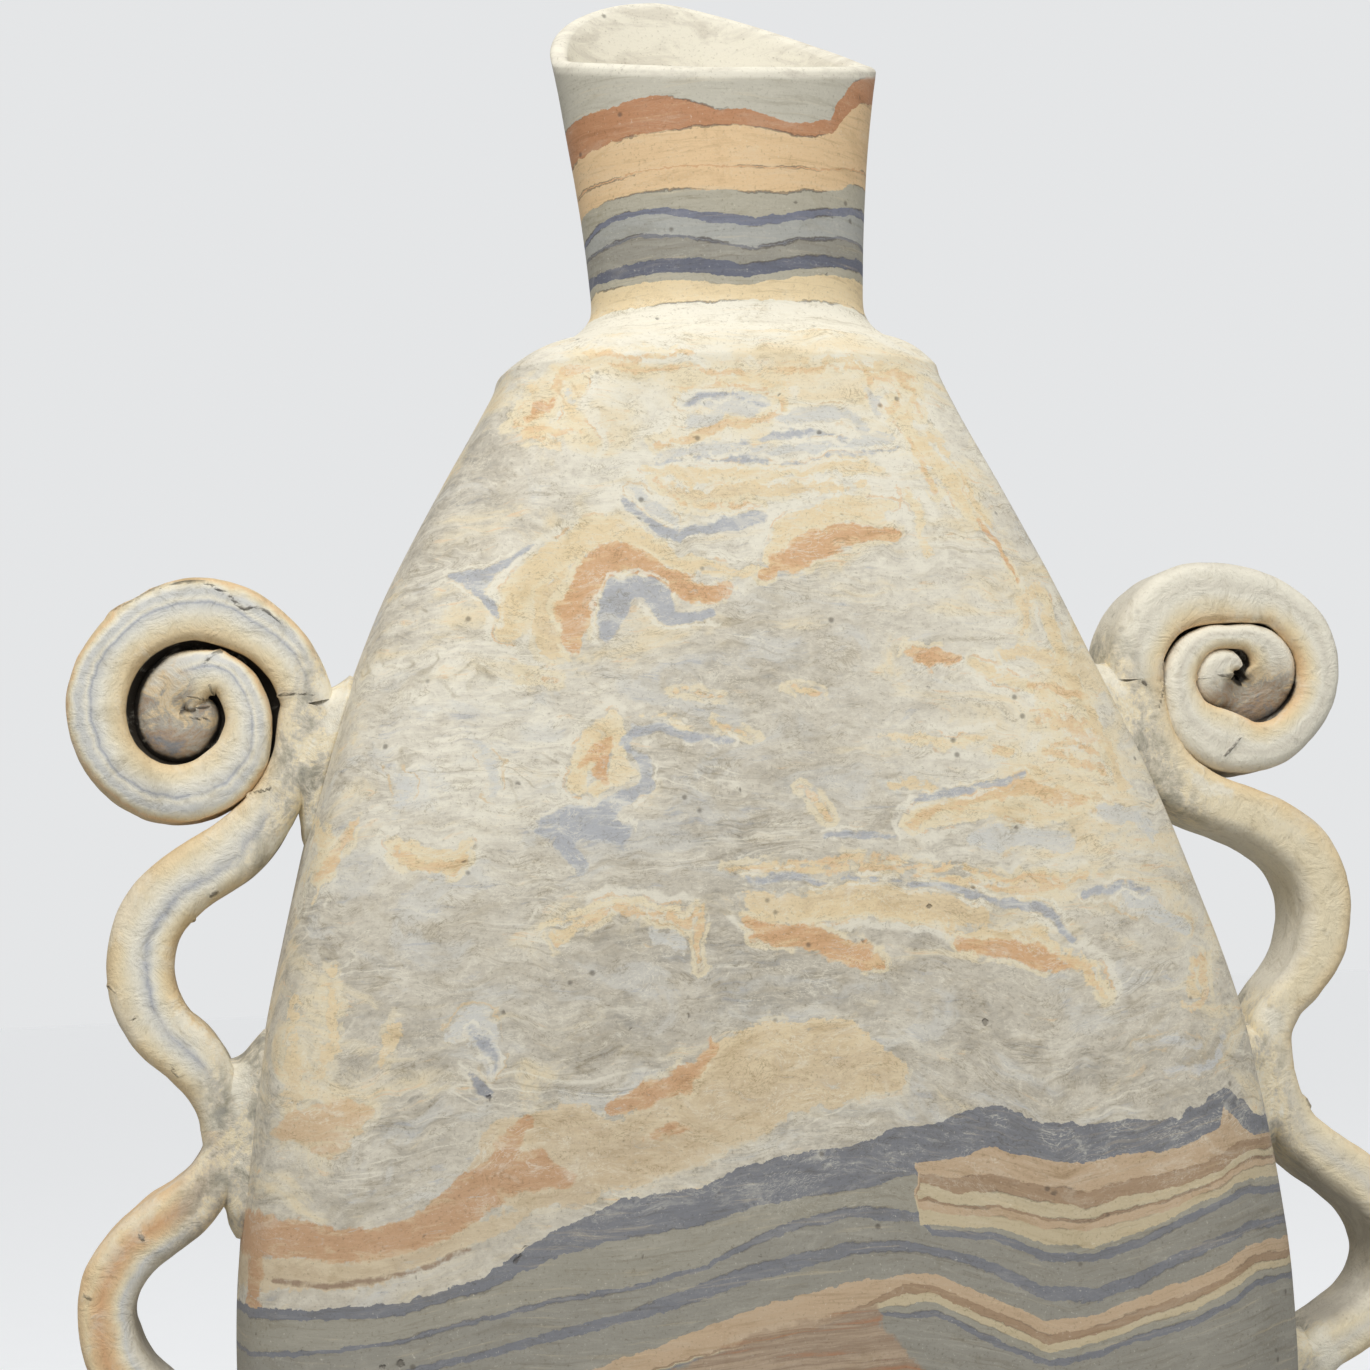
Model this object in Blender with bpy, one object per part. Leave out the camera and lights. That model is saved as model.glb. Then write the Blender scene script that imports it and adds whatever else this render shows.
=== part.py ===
"""Slab-built vase in marbled clay: a flattened body, a tapered neck and two scroll handles.

Units are metres, +Z is up, the broad front faces -Y and +X is to the right seen from the front.
The origin is the middle of the foot, on the surface that the vase stands on.
"""
import math
from dataclasses import dataclass

import bmesh
import bpy

# Joints between pieces
JOINT_GAP = 0.0003

# Body heights: each level is a rise above the one below it
BASE_THICKNESS = 0.007
FOOT_CHAMFER = 0.0012
BELLY_RISE = 0.098
HIP_RISE = 0.052
FLANK_RISE = 0.050
CHEST_RISE = 0.050
SHOULDER_RISE = 0.0545

# Body widths at mid-depth, and depths through the middle
FOOT_WIDTH = 0.2100
BELLY_WIDTH = 0.2244
HIP_WIDTH = 0.2150
FLANK_WIDTH = 0.1906
CHEST_WIDTH = 0.1545
SHOULDER_WIDTH = 0.0990
FOOT_DEPTH = 0.078
BELLY_DEPTH = 0.086
FLANK_DEPTH = 0.077
CHEST_DEPTH = 0.067
SHOULDER_DEPTH = 0.054

# Body walls: slab thickness, and the soft rounding of the broad faces towards their corners
WALL = 0.006
SIDE_CROWN = 0.003
ROUNDING_WIDTH = 0.024
ROUNDING_CURVE = 1.8
BELLY_EDGE_DROP = 0.013
SHOULDER_EDGE_DROP = 0.010

# The hand-built body leans a little to one side at the chest
SWAY = -0.0035
SWAY_HEIGHT = 0.252
SWAY_REACH = 0.090

# Shoulder slab and the coil of clay worked into the joint under the neck
SHOULDER_CROWN = 0.0095
SHOULDER_EDGE = 0.0012
SHOULDER_FULLNESS = 2.8
SHOULDER_SHARES = (0.0, 0.1, 0.25, 0.43, 0.62, 1.0)
COIL_START = 4
COIL_HEIGHT = 0.0088
COIL_HOLLOW = 2.2
COIL_EDGE = 0.0008
COIL_CLIMBS = (0.0, 0.2, 0.45, 0.72)

# Neck tube and its cut rim
NECK_OFFSET = 0.0022
NECK_WIDTH = 0.0606
NECK_DEPTH = 0.038
MOUTH_WIDTH = 0.0756
MOUTH_DEPTH = 0.042
NECK_WALL = 0.005
LIP_WALL = 0.003
NECK_RISE = 0.0654
NECK_FLARE = 1.5
RIM_TILT = 0.36
RIM_CREST = 0.0134
RIM_CREST_PLACE = -0.0095
RIM_CREST_CURVE = 1.3
RIM_PINCH = 0.5
LIP_ROUNDING = 0.0008

# Handles: straps of one depth, with softened edges
STRAP_DEPTH = 0.020
STRAP_CORNER = 0.0025
STRAP_CORNER_SHARE = 0.4
SWELL_SHARE = 0.35
PAD_DEPTH_AT_WALL = 0.024
PAD_DEPTH_AT_STRAP = 0.0144
PAD_SETBACK = 0.0004
SCROLL_TIP_SHARE = 0.6
SCROLL_TIP_TURN = 0.5
SCROLL_END_SHARE = 0.55
JOINT_RUN = 0.006

# Left handle: stand-offs are measured out from the side wall, drops down from the scroll's centre
LEFT_SCROLL_HEIGHT = 0.2352
LEFT_SCROLL_RADIUS = 0.0304
LEFT_SCROLL_STRAP = 0.0107
LEFT_SCROLL_GAP = 0.0013
LEFT_SCROLL_EYE = 0.0039
LEFT_SCROLL_CLEARANCE = 0.0015
LEFT_DEPARTURE = 60.0
LEFT_LOOP_STRAP = 0.0125
LEFT_LOWER_STRAP = 0.0108
LEFT_PRESSED_STRAP = 0.0082
LEFT_UPPER_LOOP = ((0.0243, 0.0386), (0.0286, 0.0517), (0.0232, 0.0632), (0.0127, 0.0724))
LEFT_MIDDLE_STANDOFF = 0.0072
LEFT_MIDDLE_DROP = 0.0872
LEFT_LOWER_LOOP = ((0.0128, 0.1022), (0.0210, 0.1102), (0.0256, 0.1217),
                   (0.0232, 0.1332), (0.0145, 0.1428))
LEFT_LOWER_STANDOFF = 0.0074
LEFT_LOWER_DROP = 0.1570

# Right handle, measured the same way
RIGHT_SCROLL_HEIGHT = 0.2370
RIGHT_SCROLL_RADIUS = 0.0278
RIGHT_SCROLL_STRAP = 0.0082
RIGHT_SCROLL_GAP = 0.0010
RIGHT_SCROLL_EYE = 0.0034
RIGHT_SCROLL_CLEARANCE = 0.0040
RIGHT_DEPARTURE = 32.0
RIGHT_LOOP_STRAP = 0.0100
RIGHT_LOWER_STRAP = 0.0100
RIGHT_PRESSED_STRAP = 0.0082
RIGHT_UPPER_LOOP = ((0.0125, 0.0262), (0.0205, 0.0307), (0.0295, 0.0360), (0.0328, 0.0457),
                    (0.0303, 0.0567), (0.0222, 0.0677), (0.0128, 0.0755))
RIGHT_MIDDLE_STANDOFF = 0.0080
RIGHT_MIDDLE_DROP = 0.0892
RIGHT_LOWER_LOOP = ((0.0142, 0.1037), (0.0235, 0.1125), (0.0316, 0.1240),
                    (0.0290, 0.1365), (0.0175, 0.1460))
RIGHT_LOWER_STANDOFF = 0.0074
RIGHT_LOWER_DROP = 0.1595

# How far the pads of clay between strap and wall reach above and below each joint
UPPER_PAD_ABOVE = 0.0035
LEFT_UPPER_PAD_BELOW = 0.0275
RIGHT_UPPER_PAD_BELOW = 0.0310
MIDDLE_PAD_ABOVE = 0.0185
MIDDLE_PAD_BELOW = 0.0215
LOWER_PAD_ABOVE = 0.0135
LOWER_PAD_BELOW = 0.0030

# Clays, as bare colours, and how dry their surface is
PUTTY = (0.50, 0.50, 0.44)
CREAM = (0.80, 0.70, 0.47)
TAN = (0.66, 0.44, 0.26)
BUFF = (0.62, 0.55, 0.42)
CLAY_ROUGHNESS = 0.72

# Fineness of the model
WALL_ROWS = 16
FACE_COLUMNS = 16
SIDE_COLUMNS = 6
ROUND_STEPS = 48
NECK_ROWS = 9
STRAP_STEP = 0.0035
SCROLL_STEP_DEGREES = 14.0
PATH_SAMPLES = 24
PAD_COLUMNS = 4
CLEARANCE_STEPS = 12
LEVEL_MARGIN = 0.0004
SPOKE_HALVINGS = 40
SPOKE_REACH = 4.0
SHARP_ANGLE = 40.0

BELLY_HEIGHT = BELLY_RISE
HIP_HEIGHT = BELLY_HEIGHT + HIP_RISE
FLANK_HEIGHT = HIP_HEIGHT + FLANK_RISE
CHEST_HEIGHT = FLANK_HEIGHT + CHEST_RISE
SHOULDER_HEIGHT = CHEST_HEIGHT + SHOULDER_RISE
NECK_SEAT = SHOULDER_HEIGHT + JOINT_GAP + SHOULDER_CROWN
RIM_HEIGHT = NECK_SEAT + NECK_RISE

WIDTHS = ((0.0, FOOT_WIDTH), (BELLY_HEIGHT, BELLY_WIDTH), (HIP_HEIGHT, HIP_WIDTH),
          (FLANK_HEIGHT, FLANK_WIDTH), (CHEST_HEIGHT, CHEST_WIDTH), (SHOULDER_HEIGHT, SHOULDER_WIDTH))
DEPTHS = ((0.0, FOOT_DEPTH), (BELLY_HEIGHT, BELLY_DEPTH), (FLANK_HEIGHT, FLANK_DEPTH),
          (CHEST_HEIGHT, CHEST_DEPTH), (SHOULDER_HEIGHT, SHOULDER_DEPTH))
EDGE_DROPS = ((0.0, BELLY_EDGE_DROP), (BELLY_HEIGHT, BELLY_EDGE_DROP), (SHOULDER_HEIGHT, SHOULDER_EDGE_DROP))


def smooth_through(stations, height):
    """Read a smooth curve that passes every (height, value) station without overshooting."""
    if height <= stations[0][0]:
        return stations[0][1]
    if height >= stations[-1][0]:
        return stations[-1][1]
    slopes = [(b[1] - a[1]) / (b[0] - a[0]) for a, b in zip(stations, stations[1:])]
    tangents = [slopes[0]]
    for before, after in zip(slopes, slopes[1:]):
        level = before * after <= 0.0
        tangents.append(0.0 if level else 2.0 * before * after / (before + after))
    tangents.append(slopes[-1])
    index = max(i for i in range(len(slopes)) if height >= stations[i][0])
    (low, start), (high, end) = stations[index], stations[index + 1]
    span = high - low
    t = (height - low) / span
    rise = start * (1 + 2 * t) * (1 - t) ** 2 + end * t * t * (3 - 2 * t)
    return rise + span * t * (1 - t) * (tangents[index] * (1 - t) - tangents[index + 1] * t)


def half_width(z):
    """Distance from the body's middle to a side wall's outer face at mid-depth."""
    return smooth_through(WIDTHS, z) / 2


def half_depth(z):
    """Distance from the middle plane to the broad face's outer side at the body's middle."""
    return smooth_through(DEPTHS, z) / 2


def corner_depth(z):
    """Distance from the middle plane to the corner where a broad face meets a side."""
    return half_depth(z) - smooth_through(EDGE_DROPS, z)


def sway(z):
    """Sideways lean of the body's middle at this height."""
    t = min(1.0, abs(z - SWAY_HEIGHT) / SWAY_REACH)
    return SWAY * (1 - t * t * (3 - 2 * t))


def side_reach(y, z):
    """Distance from the body's middle to a side wall's outer face, which bulges at mid-depth."""
    return half_width(z) - SIDE_CROWN * (y / corner_depth(z)) ** 2


def face_reach(across, z, inset=0.0):
    """Distance from the middle plane to a broad face, outside or one wall thickness inside."""
    rounding = ROUNDING_WIDTH - inset
    start = half_width(z) - SIDE_CROWN - ROUNDING_WIDTH
    t = min(1.0, max(0.0, (abs(across) - start) / rounding))
    drop = half_depth(z) - corner_depth(z) - (JOINT_GAP if inset else 0.0)
    return half_depth(z) - inset - drop * t ** ROUNDING_CURVE


def clay(name, colour):
    """Make the dry, unglazed clay of one piece."""
    material = bpy.data.materials.new(name + "_clay")
    material.use_nodes = True
    shader = material.node_tree.nodes["Principled BSDF"]
    shader.inputs["Base Color"].default_value = (*colour, 1.0)
    shader.inputs["Roughness"].default_value = CLAY_ROUGHNESS
    shader.inputs["Metallic"].default_value = 0.0
    return material


def add_piece(name, points, faces, colour):
    """Add one closed piece from its points and faces, shaded smooth but for its real edges."""
    bm = bmesh.new()
    vertices = [bm.verts.new(point) for point in points]
    for face in faces:
        bm.faces.new([vertices[index] for index in face])
    bmesh.ops.recalc_face_normals(bm, faces=bm.faces)
    mesh = bpy.data.meshes.new(name)
    bm.to_mesh(mesh)
    bm.free()
    mesh.shade_smooth()
    mesh.set_sharp_from_angle(angle=math.radians(SHARP_ANGLE))
    mesh.materials.append(clay(name, colour))
    piece = bpy.data.objects.new(name, mesh)
    bpy.context.scene.collection.objects.link(piece)
    return piece


def add_plate(name, outer, inner, colour):
    """Add a slab between two grids of points, each a list of rows of one length."""
    rows, columns = len(outer), len(outer[0])
    points = [point for grid in (outer, inner) for row in grid for point in row]

    def outer_at(row, column):
        return row * columns + column

    def inner_at(row, column):
        return rows * columns + row * columns + column

    faces = []
    for row in range(rows - 1):
        for column in range(columns - 1):
            cell = ((row, column), (row, column + 1), (row + 1, column + 1), (row + 1, column))
            faces.append([outer_at(*corner) for corner in cell])
            faces.append([inner_at(*corner) for corner in reversed(cell)])
    border = [(0, column) for column in range(columns)]
    border += [(row, columns - 1) for row in range(1, rows)]
    border += [(rows - 1, column) for column in range(columns - 2, -1, -1)]
    border += [(row, 0) for row in range(rows - 2, 0, -1)]
    for here, there in zip(border, border[1:] + border[:1]):
        faces.append([outer_at(*here), outer_at(*there), inner_at(*there), inner_at(*here)])
    return add_piece(name, points, faces, colour)


def add_stack(name, loops, colour, hoop=False):
    """Add a solid from closed loops, its last joined to its first as a hoop, or both ends capped."""
    count = len(loops[0])
    points = [point for loop in loops for point in loop]
    pairs = list(zip(range(len(loops)), range(1, len(loops))))
    faces = []
    if hoop:
        pairs.append((len(loops) - 1, 0))
    else:
        faces.append(list(range(count)))
        faces.append(list(range(len(points) - 1, len(points) - 1 - count, -1)))
    for low, high in pairs:
        for i in range(count):
            j = (i + 1) % count
            faces.append([low * count + i, low * count + j, high * count + j, high * count + i])
    return add_piece(name, points, faces, colour)


def spread(low, high, steps):
    """Values from low to high in equal steps, both ends included."""
    return [low + (high - low) * step / steps for step in range(steps + 1)]


def face_columns(z):
    """Places across a broad face: closer together over the roundings than over the flat middle."""
    edge = half_width(z) - SIDE_CROWN
    start = edge - ROUNDING_WIDTH
    quarter = FACE_COLUMNS // 4
    left = spread(-edge, -start, quarter)
    middle = spread(-start, start, 2 * quarter)
    right = spread(start, edge, quarter)
    return left + middle[1:-1] + right


def build_broad_slab(name, facing):
    """Add the front slab (facing -1) or the back slab (facing 1), which lap over the side slabs."""
    outer, inner = [], []
    for z in spread(BASE_THICKNESS + JOINT_GAP, SHOULDER_HEIGHT, WALL_ROWS):
        middle = sway(z)
        butt = corner_depth(z) - WALL + JOINT_GAP / 2
        edge = half_width(z) - SIDE_CROWN
        shrink = (edge - WALL) / edge
        columns = face_columns(z)
        outer.append([(middle + x, facing * face_reach(x, z), z) for x in columns])
        row = [(middle + x * shrink, facing * face_reach(x * shrink, z, WALL), z)
               for x in columns[1:-1]]
        reach = side_reach(butt, z)
        inner.append([(middle - reach, facing * butt, z), *row, (middle + reach, facing * butt, z)])
    return add_plate(name, outer, inner, PUTTY)


def build_side_slab(name, side):
    """Add the left (side -1) or right (side 1) slab, set between the two broad slabs."""
    outer, inner = [], []
    for z in spread(BASE_THICKNESS + JOINT_GAP, SHOULDER_HEIGHT, WALL_ROWS):
        middle = sway(z)
        butt = corner_depth(z) - WALL - JOINT_GAP / 2
        places = spread(-butt, butt, SIDE_COLUMNS)
        inside = half_width(z) - SIDE_CROWN - WALL
        outer.append([(middle + side * side_reach(y, z), y, z) for y in places])
        inner.append([(middle + side * inside, y, z) for y in places])
    return add_plate(name, outer, inner, PUTTY)


def body_outline(z, inset=0.0):
    """Closed outline of the body at one height, drawn in by a small inset where asked."""
    columns = face_columns(z)
    corner = corner_depth(z)
    sides = spread(-corner, corner, SIDE_COLUMNS)[1:-1]
    front = [(x, -face_reach(x, z)) for x in columns]
    right = [(side_reach(y, z), y) for y in sides]
    back = [(-x, face_reach(x, z)) for x in columns]
    left = [(-side_reach(y, z), -y) for y in sides]
    scale_x = 1 - inset / half_width(z)
    scale_y = 1 - inset / half_depth(z)
    return [(sway(z) + x * scale_x, y * scale_y) for x, y in front + right + back + left]


def build_base():
    """Add the base slab that the four walls stand on, with a small chamfer round its foot."""
    levels = ((0.0, FOOT_CHAMFER), (FOOT_CHAMFER, 0.0), (BASE_THICKNESS, 0.0))
    loops = [[(x, y, z) for x, y in body_outline(z, inset)] for z, inset in levels]
    return add_stack("base_slab", loops, BUFF)


def neck_half_sizes(z):
    """Half the width and half the depth of the neck's outer face at one height."""
    rise = max(0.0, (z - NECK_SEAT) / NECK_RISE) ** NECK_FLARE
    half_across = (NECK_WIDTH + (MOUTH_WIDTH - NECK_WIDTH) * rise) / 2
    half_through = (NECK_DEPTH + (MOUTH_DEPTH - NECK_DEPTH) * rise) / 2
    return half_across, half_through


def neck_point(angle, z, inset=0.0):
    """Point of the neck's plan: an oval, pinched to a corner on its right side near the mouth."""
    half_across, half_through = neck_half_sizes(z)
    pinch = 0.0
    if math.cos(angle) > 0:
        pinch = RIM_PINCH * min(1.0, max(0.0, (z - NECK_SEAT) / NECK_RISE)) ** 2
    power = 2 / (2 - pinch)
    across = (half_across - inset * (1 + pinch)) * abs(math.cos(angle)) ** power
    through = (half_through - inset) * abs(math.sin(angle)) ** power
    return (NECK_OFFSET + math.copysign(across, math.cos(angle)), math.copysign(through, math.sin(angle)))


def rim_height(angle):
    """Height of the rim: cut low in front, high at the back with its crest left of the middle."""
    x, y = neck_point(angle, RIM_HEIGHT)
    height = RIM_HEIGHT + RIM_TILT * y
    if y <= 0:
        return height
    across = x - NECK_OFFSET - RIM_CREST_PLACE
    if across < 0:
        share = min(1.0, -across / (MOUTH_WIDTH / 2 + RIM_CREST_PLACE))
        return height + RIM_CREST * math.sqrt(1 - share * share)
    share = min(1.0, across / (MOUTH_WIDTH / 2 - RIM_CREST_PLACE))
    return height + RIM_CREST * (1 - share ** RIM_CREST_CURVE)


def corner_angle(side, facing):
    """Angle, on the neck's oval, of the spoke that runs out to one corner of the shoulder."""
    half_across, half_through = neck_half_sizes(NECK_SEAT)
    x = sway(SHOULDER_HEIGHT) + side * (half_width(SHOULDER_HEIGHT) - SIDE_CROWN) - NECK_OFFSET
    y = facing * corner_depth(SHOULDER_HEIGHT)
    return math.atan2(y / half_through, x / half_across) % math.tau


def round_angles():
    """Angles round the neck, with one moved onto each corner of the shoulder."""
    step = math.tau / ROUND_STEPS
    angles = [step * index for index in range(ROUND_STEPS)]
    for side in (-1, 1):
        for facing in (-1, 1):
            corner = corner_angle(side, facing)
            angles[round(corner / step) % ROUND_STEPS] = corner
    return angles


def shoulder_edge(angle):
    """Point of the shoulder's outline on the spoke from the neck's centre, and the neck's own point."""
    z = SHOULDER_HEIGHT
    half_across, half_through = neck_half_sizes(NECK_SEAT)
    spoke = (half_across * math.cos(angle), half_through * math.sin(angle))
    low, high = 1.0, SPOKE_REACH
    for _ in range(SPOKE_HALVINGS):
        share = (low + high) / 2
        x, y = NECK_OFFSET + spoke[0] * share - sway(z), spoke[1] * share
        within = abs(y) <= corner_depth(z) and abs(x) <= side_reach(y, z)
        broad = abs(x) <= half_width(z) - SIDE_CROWN and abs(y) <= face_reach(x, z)
        if within or broad:
            low = share
        else:
            high = share
    edge = (NECK_OFFSET + spoke[0] * low, spoke[1] * low)
    return edge, (NECK_OFFSET + spoke[0], spoke[1])


def between(start, end, share):
    """Point part of the way from start to end."""
    return start[0] + (end[0] - start[0]) * share, start[1] + (end[1] - start[1]) * share


def crown_height(share):
    """Height of the shoulder's top, part of the way from its edge to the neck."""
    low = SHOULDER_HEIGHT + JOINT_GAP + SHOULDER_EDGE
    return NECK_SEAT - (NECK_SEAT - low) * (1 - share) ** SHOULDER_FULLNESS


def build_shoulder():
    """Add the shoulder slab: flat beneath, crowned on top, with the hole under the neck."""
    underside = SHOULDER_HEIGHT + JOINT_GAP
    loops = [[] for _ in range(len(SHOULDER_SHARES) + 3)]
    for angle in round_angles():
        edge, neck = shoulder_edge(angle)
        hole = neck_point(angle, NECK_SEAT, NECK_WALL)
        loops[0].append((*edge, underside))
        for index, share in enumerate(SHOULDER_SHARES):
            loops[index + 1].append((*between(edge, neck, share), crown_height(share)))
        loops[-2].append((*hole, NECK_SEAT))
        loops[-1].append((*hole, underside))
    return add_stack("shoulder_slab", loops, CREAM, hoop=True)


def build_neck_coil():
    """Add the coil of clay worked into a hollow curve between the neck and the shoulder."""
    under = SHOULDER_SHARES[COIL_START:]
    top = NECK_SEAT + JOINT_GAP + COIL_HEIGHT
    loops = [[] for _ in range(len(under) + len(COIL_CLIMBS) + 1)]
    for angle in round_angles():
        edge, neck = shoulder_edge(angle)
        foot = crown_height(under[0]) + JOINT_GAP
        for index, share in enumerate(under[:-1]):
            loops[index].append((*between(edge, neck, share), crown_height(share) + JOINT_GAP))
        loops[len(under) - 1].append((*neck_point(angle, NECK_SEAT, -JOINT_GAP), NECK_SEAT + JOINT_GAP))
        loops[len(under)].append((*neck_point(angle, top, -JOINT_GAP), top))
        for index, climb in enumerate(reversed(COIL_CLIMBS)):
            z = foot + COIL_EDGE + (top - foot - COIL_EDGE) * climb
            level = neck_point(angle, z, -JOINT_GAP)
            outer = between(edge, neck, under[0])
            share = (1 - climb) ** COIL_HOLLOW
            reach = (outer[0] - neck[0]) * share, (outer[1] - neck[1]) * share
            rim = between(neck, edge, COIL_EDGE / math.dist(neck, edge))
            lip = (rim[0] - neck[0]) * (1 - share), (rim[1] - neck[1]) * (1 - share)
            x, y = level[0] + reach[0] + lip[0], level[1] + reach[1] + lip[1]
            loops[len(under) + 1 + index].append((x, y, z))
    return add_stack("neck_joint_coil", loops, CREAM, hoop=True)


def build_neck():
    """Add the neck, a rolled tube that widens upwards and ends in a thin, uneven rim."""
    foot = NECK_SEAT + JOINT_GAP
    outside, inside, lip = [], [], [[], []]
    shares = spread(0.0, 1.0, NECK_ROWS)
    angles = round_angles()
    for share in shares:
        outer_loop, inner_loop = [], []
        for angle in angles:
            z = foot + (rim_height(angle) - LIP_ROUNDING - foot) * share
            wall = NECK_WALL + (LIP_WALL - NECK_WALL) * share
            outer_loop.append((*neck_point(angle, z), z))
            inner_loop.append((*neck_point(angle, z, wall), z))
        outside.append(outer_loop)
        inside.append(inner_loop)
    for angle in angles:
        top = rim_height(angle)
        lip[0].append((*neck_point(angle, top, LIP_ROUNDING), top))
        lip[1].append((*neck_point(angle, top, LIP_WALL - LIP_ROUNDING), top))
    return add_stack("neck_tube", outside + lip + inside[::-1], TAN, hoop=True)


@dataclass
class Handle:
    """One handle: a scroll, an upper and a lower strap, and the pads that hold them to the wall."""

    label: str
    side: int
    scroll_height: float
    scroll_radius: float
    scroll_strap: float
    scroll_gap: float
    scroll_eye: float
    scroll_clearance: float
    departure: float
    loop_strap: float
    lower_strap: float
    pressed_strap: float
    upper_loop: tuple
    middle_standoff: float
    middle_drop: float
    lower_loop: tuple
    lower_standoff: float
    lower_drop: float
    upper_pad_below: float

    @property
    def start(self):
        """Distance of the strap's centre line from the scroll's centre, at the joint."""
        return self.scroll_radius - self.scroll_strap / 2

    @property
    def pitch(self):
        """Distance that the scroll draws in with each turn."""
        return self.scroll_strap + self.scroll_gap

    @property
    def centre(self):
        """Sideways place of the scroll's centre, where the strap below it just clears the wall."""
        reach = 0.0
        for turn in spread(0.0, math.radians(self.departure), CLEARANCE_STEPS):
            radius = self.start + self.pitch * turn / math.tau + self.scroll_strap / 2
            z = self.scroll_height - radius * math.sin(turn)
            wall = self.side * sway(z) + half_width(z)
            reach = max(reach, wall + self.scroll_clearance + radius * math.cos(turn))
        return self.side * reach

    def spiral(self, angle):
        """Centre line of the scroll, from the joint (angle 0) over the top and inwards."""
        radius = self.start - self.pitch * angle / math.tau
        return (self.centre - self.side * radius * math.cos(angle),
                self.scroll_height + radius * math.sin(angle))

    def off_wall(self, standoff, drop):
        """Point at a stand-off from the side wall and a drop below the scroll's centre."""
        z = self.scroll_height - drop
        return sway(z) + self.side * (half_width(z) + standoff), z

    def inward(self, path, index, level_end):
        """Unit normal of a path point, towards the wall; a strap's jointed ends are cut level."""
        before, after = path[max(0, index - 1)], path[min(len(path) - 1, index + 1)]
        run, rise = after[0] - before[0], after[1] - before[1]
        if index == 0 or (level_end and index == len(path) - 1):
            return self.side * math.copysign(1.0, rise), 0.0
        length = math.hypot(run, rise)
        return self.side * rise / length, -self.side * run / length

    def strap_loops(self, path, thicknesses, level_end=True):
        """Softened rectangles along a path: the strap's section, one loop for each point."""
        loops = []
        half = STRAP_DEPTH / 2
        for index, ((x, z), thickness) in enumerate(zip(path, thicknesses)):
            across, up = self.inward(path, index, level_end)
            corner = min(STRAP_CORNER, thickness * STRAP_CORNER_SHARE)
            loop = []
            for turn in range(4):
                middle = turn * math.pi / 2 + math.pi / 4
                flat = math.copysign(thickness / 2 - corner, math.cos(middle))
                deep = math.copysign(half - corner, math.sin(middle))
                for bend in (-math.pi / 4, 0.0, math.pi / 4):
                    out = flat + corner * math.cos(middle + bend)
                    through = deep + corner * math.sin(middle + bend)
                    loop.append((x + across * out, through, z + up * out))
            loops.append(loop)
        return loops

    def edge(self, path, thicknesses, flip=1):
        """Line just clear of the strap's wall side; the scroll runs upwards, so its side is flipped."""
        line = []
        for index, ((x, z), thickness) in enumerate(zip(path, thicknesses)):
            across, up = self.inward(path, index, flip > 0)
            out = (thickness / 2 + JOINT_GAP) * flip
            line.append((x + across * out, z + up * out))
        return line

    def scroll_path(self):
        """Centre line and thicknesses of the scroll, thinner and rounded at its inner end."""
        turn = math.tau * (self.start - self.scroll_eye) / self.pitch
        steps = math.ceil(math.degrees(turn) / SCROLL_STEP_DEGREES)
        first = JOINT_GAP / 2 / self.start
        angles = spread(first, turn, steps)
        path = [self.spiral(angle) for angle in angles]
        thicknesses = []
        for angle in angles:
            left = (turn - angle) / math.tau
            share = min(1.0, SCROLL_TIP_SHARE + (1 - SCROLL_TIP_SHARE) * left / SCROLL_TIP_TURN)
            thicknesses.append(self.scroll_strap * share)
        thicknesses[-1] *= SCROLL_END_SHARE
        return path, thicknesses

    def upper_path(self):
        """Centre line and thicknesses of the upper strap, from the scroll to the middle joint."""
        leave = math.radians(self.departure)
        lead = [self.spiral(-angle) for angle in spread(JOINT_GAP / 2 / self.start, leave, 3)]
        rest = [self.off_wall(*place) for place in self.upper_loop]
        ending = [self.off_wall(self.middle_standoff, self.middle_drop - run)
                  for run in (JOINT_RUN, JOINT_GAP / 2)]
        path, shares = smooth_path([*lead, *rest, *ending], self.spiral(leave / 3))
        return path, self.taper(shares, self.scroll_strap, self.loop_strap)

    def lower_path(self):
        """Centre line and thicknesses of the lower strap, from the middle joint to the lower one."""
        begin = [self.off_wall(self.middle_standoff, self.middle_drop + run)
                 for run in (JOINT_GAP / 2, JOINT_RUN)]
        rest = [self.off_wall(*place) for place in self.lower_loop]
        ending = [self.off_wall(self.lower_standoff, self.lower_drop - run) for run in (JOINT_RUN, 0.0)]
        path, shares = smooth_path([*begin, *rest, *ending])
        return path, self.taper(shares, self.pressed_strap, self.lower_strap)

    def taper(self, shares, first, loop):
        """Thicknesses that swell from the first joint to the loop, then are pressed thin again."""
        thicknesses = []
        for share in shares:
            rise = min(1.0, share / SWELL_SHARE)
            fall = min(1.0, (1 - share) / SWELL_SHARE)
            swollen = first + (loop - first) * rise * rise * (3 - 2 * rise)
            pressed = (loop - self.pressed_strap) * (1 - fall * fall * (3 - 2 * fall))
            thicknesses.append(swollen - pressed)
        return thicknesses

    def build_pad(self, name, line, top, bottom):
        """Add the pad of clay that fills the space between a strap's edge and the wall."""
        places = level_points(line, top, bottom)
        outer, inner = [], []
        for x, z in places:
            row_outer, row_inner = [], []
            for share in spread(-1.0, 1.0, PAD_COLUMNS):
                y = share * PAD_DEPTH_AT_WALL / 2
                near = side_reach(y, z) + PAD_SETBACK
                row_inner.append((sway(z) + self.side * near, y, z))
                row_outer.append((x, share * PAD_DEPTH_AT_STRAP / 2, z))
            outer.append(row_outer)
            inner.append(row_inner)
        return add_plate(name, outer, inner, BUFF)

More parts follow.
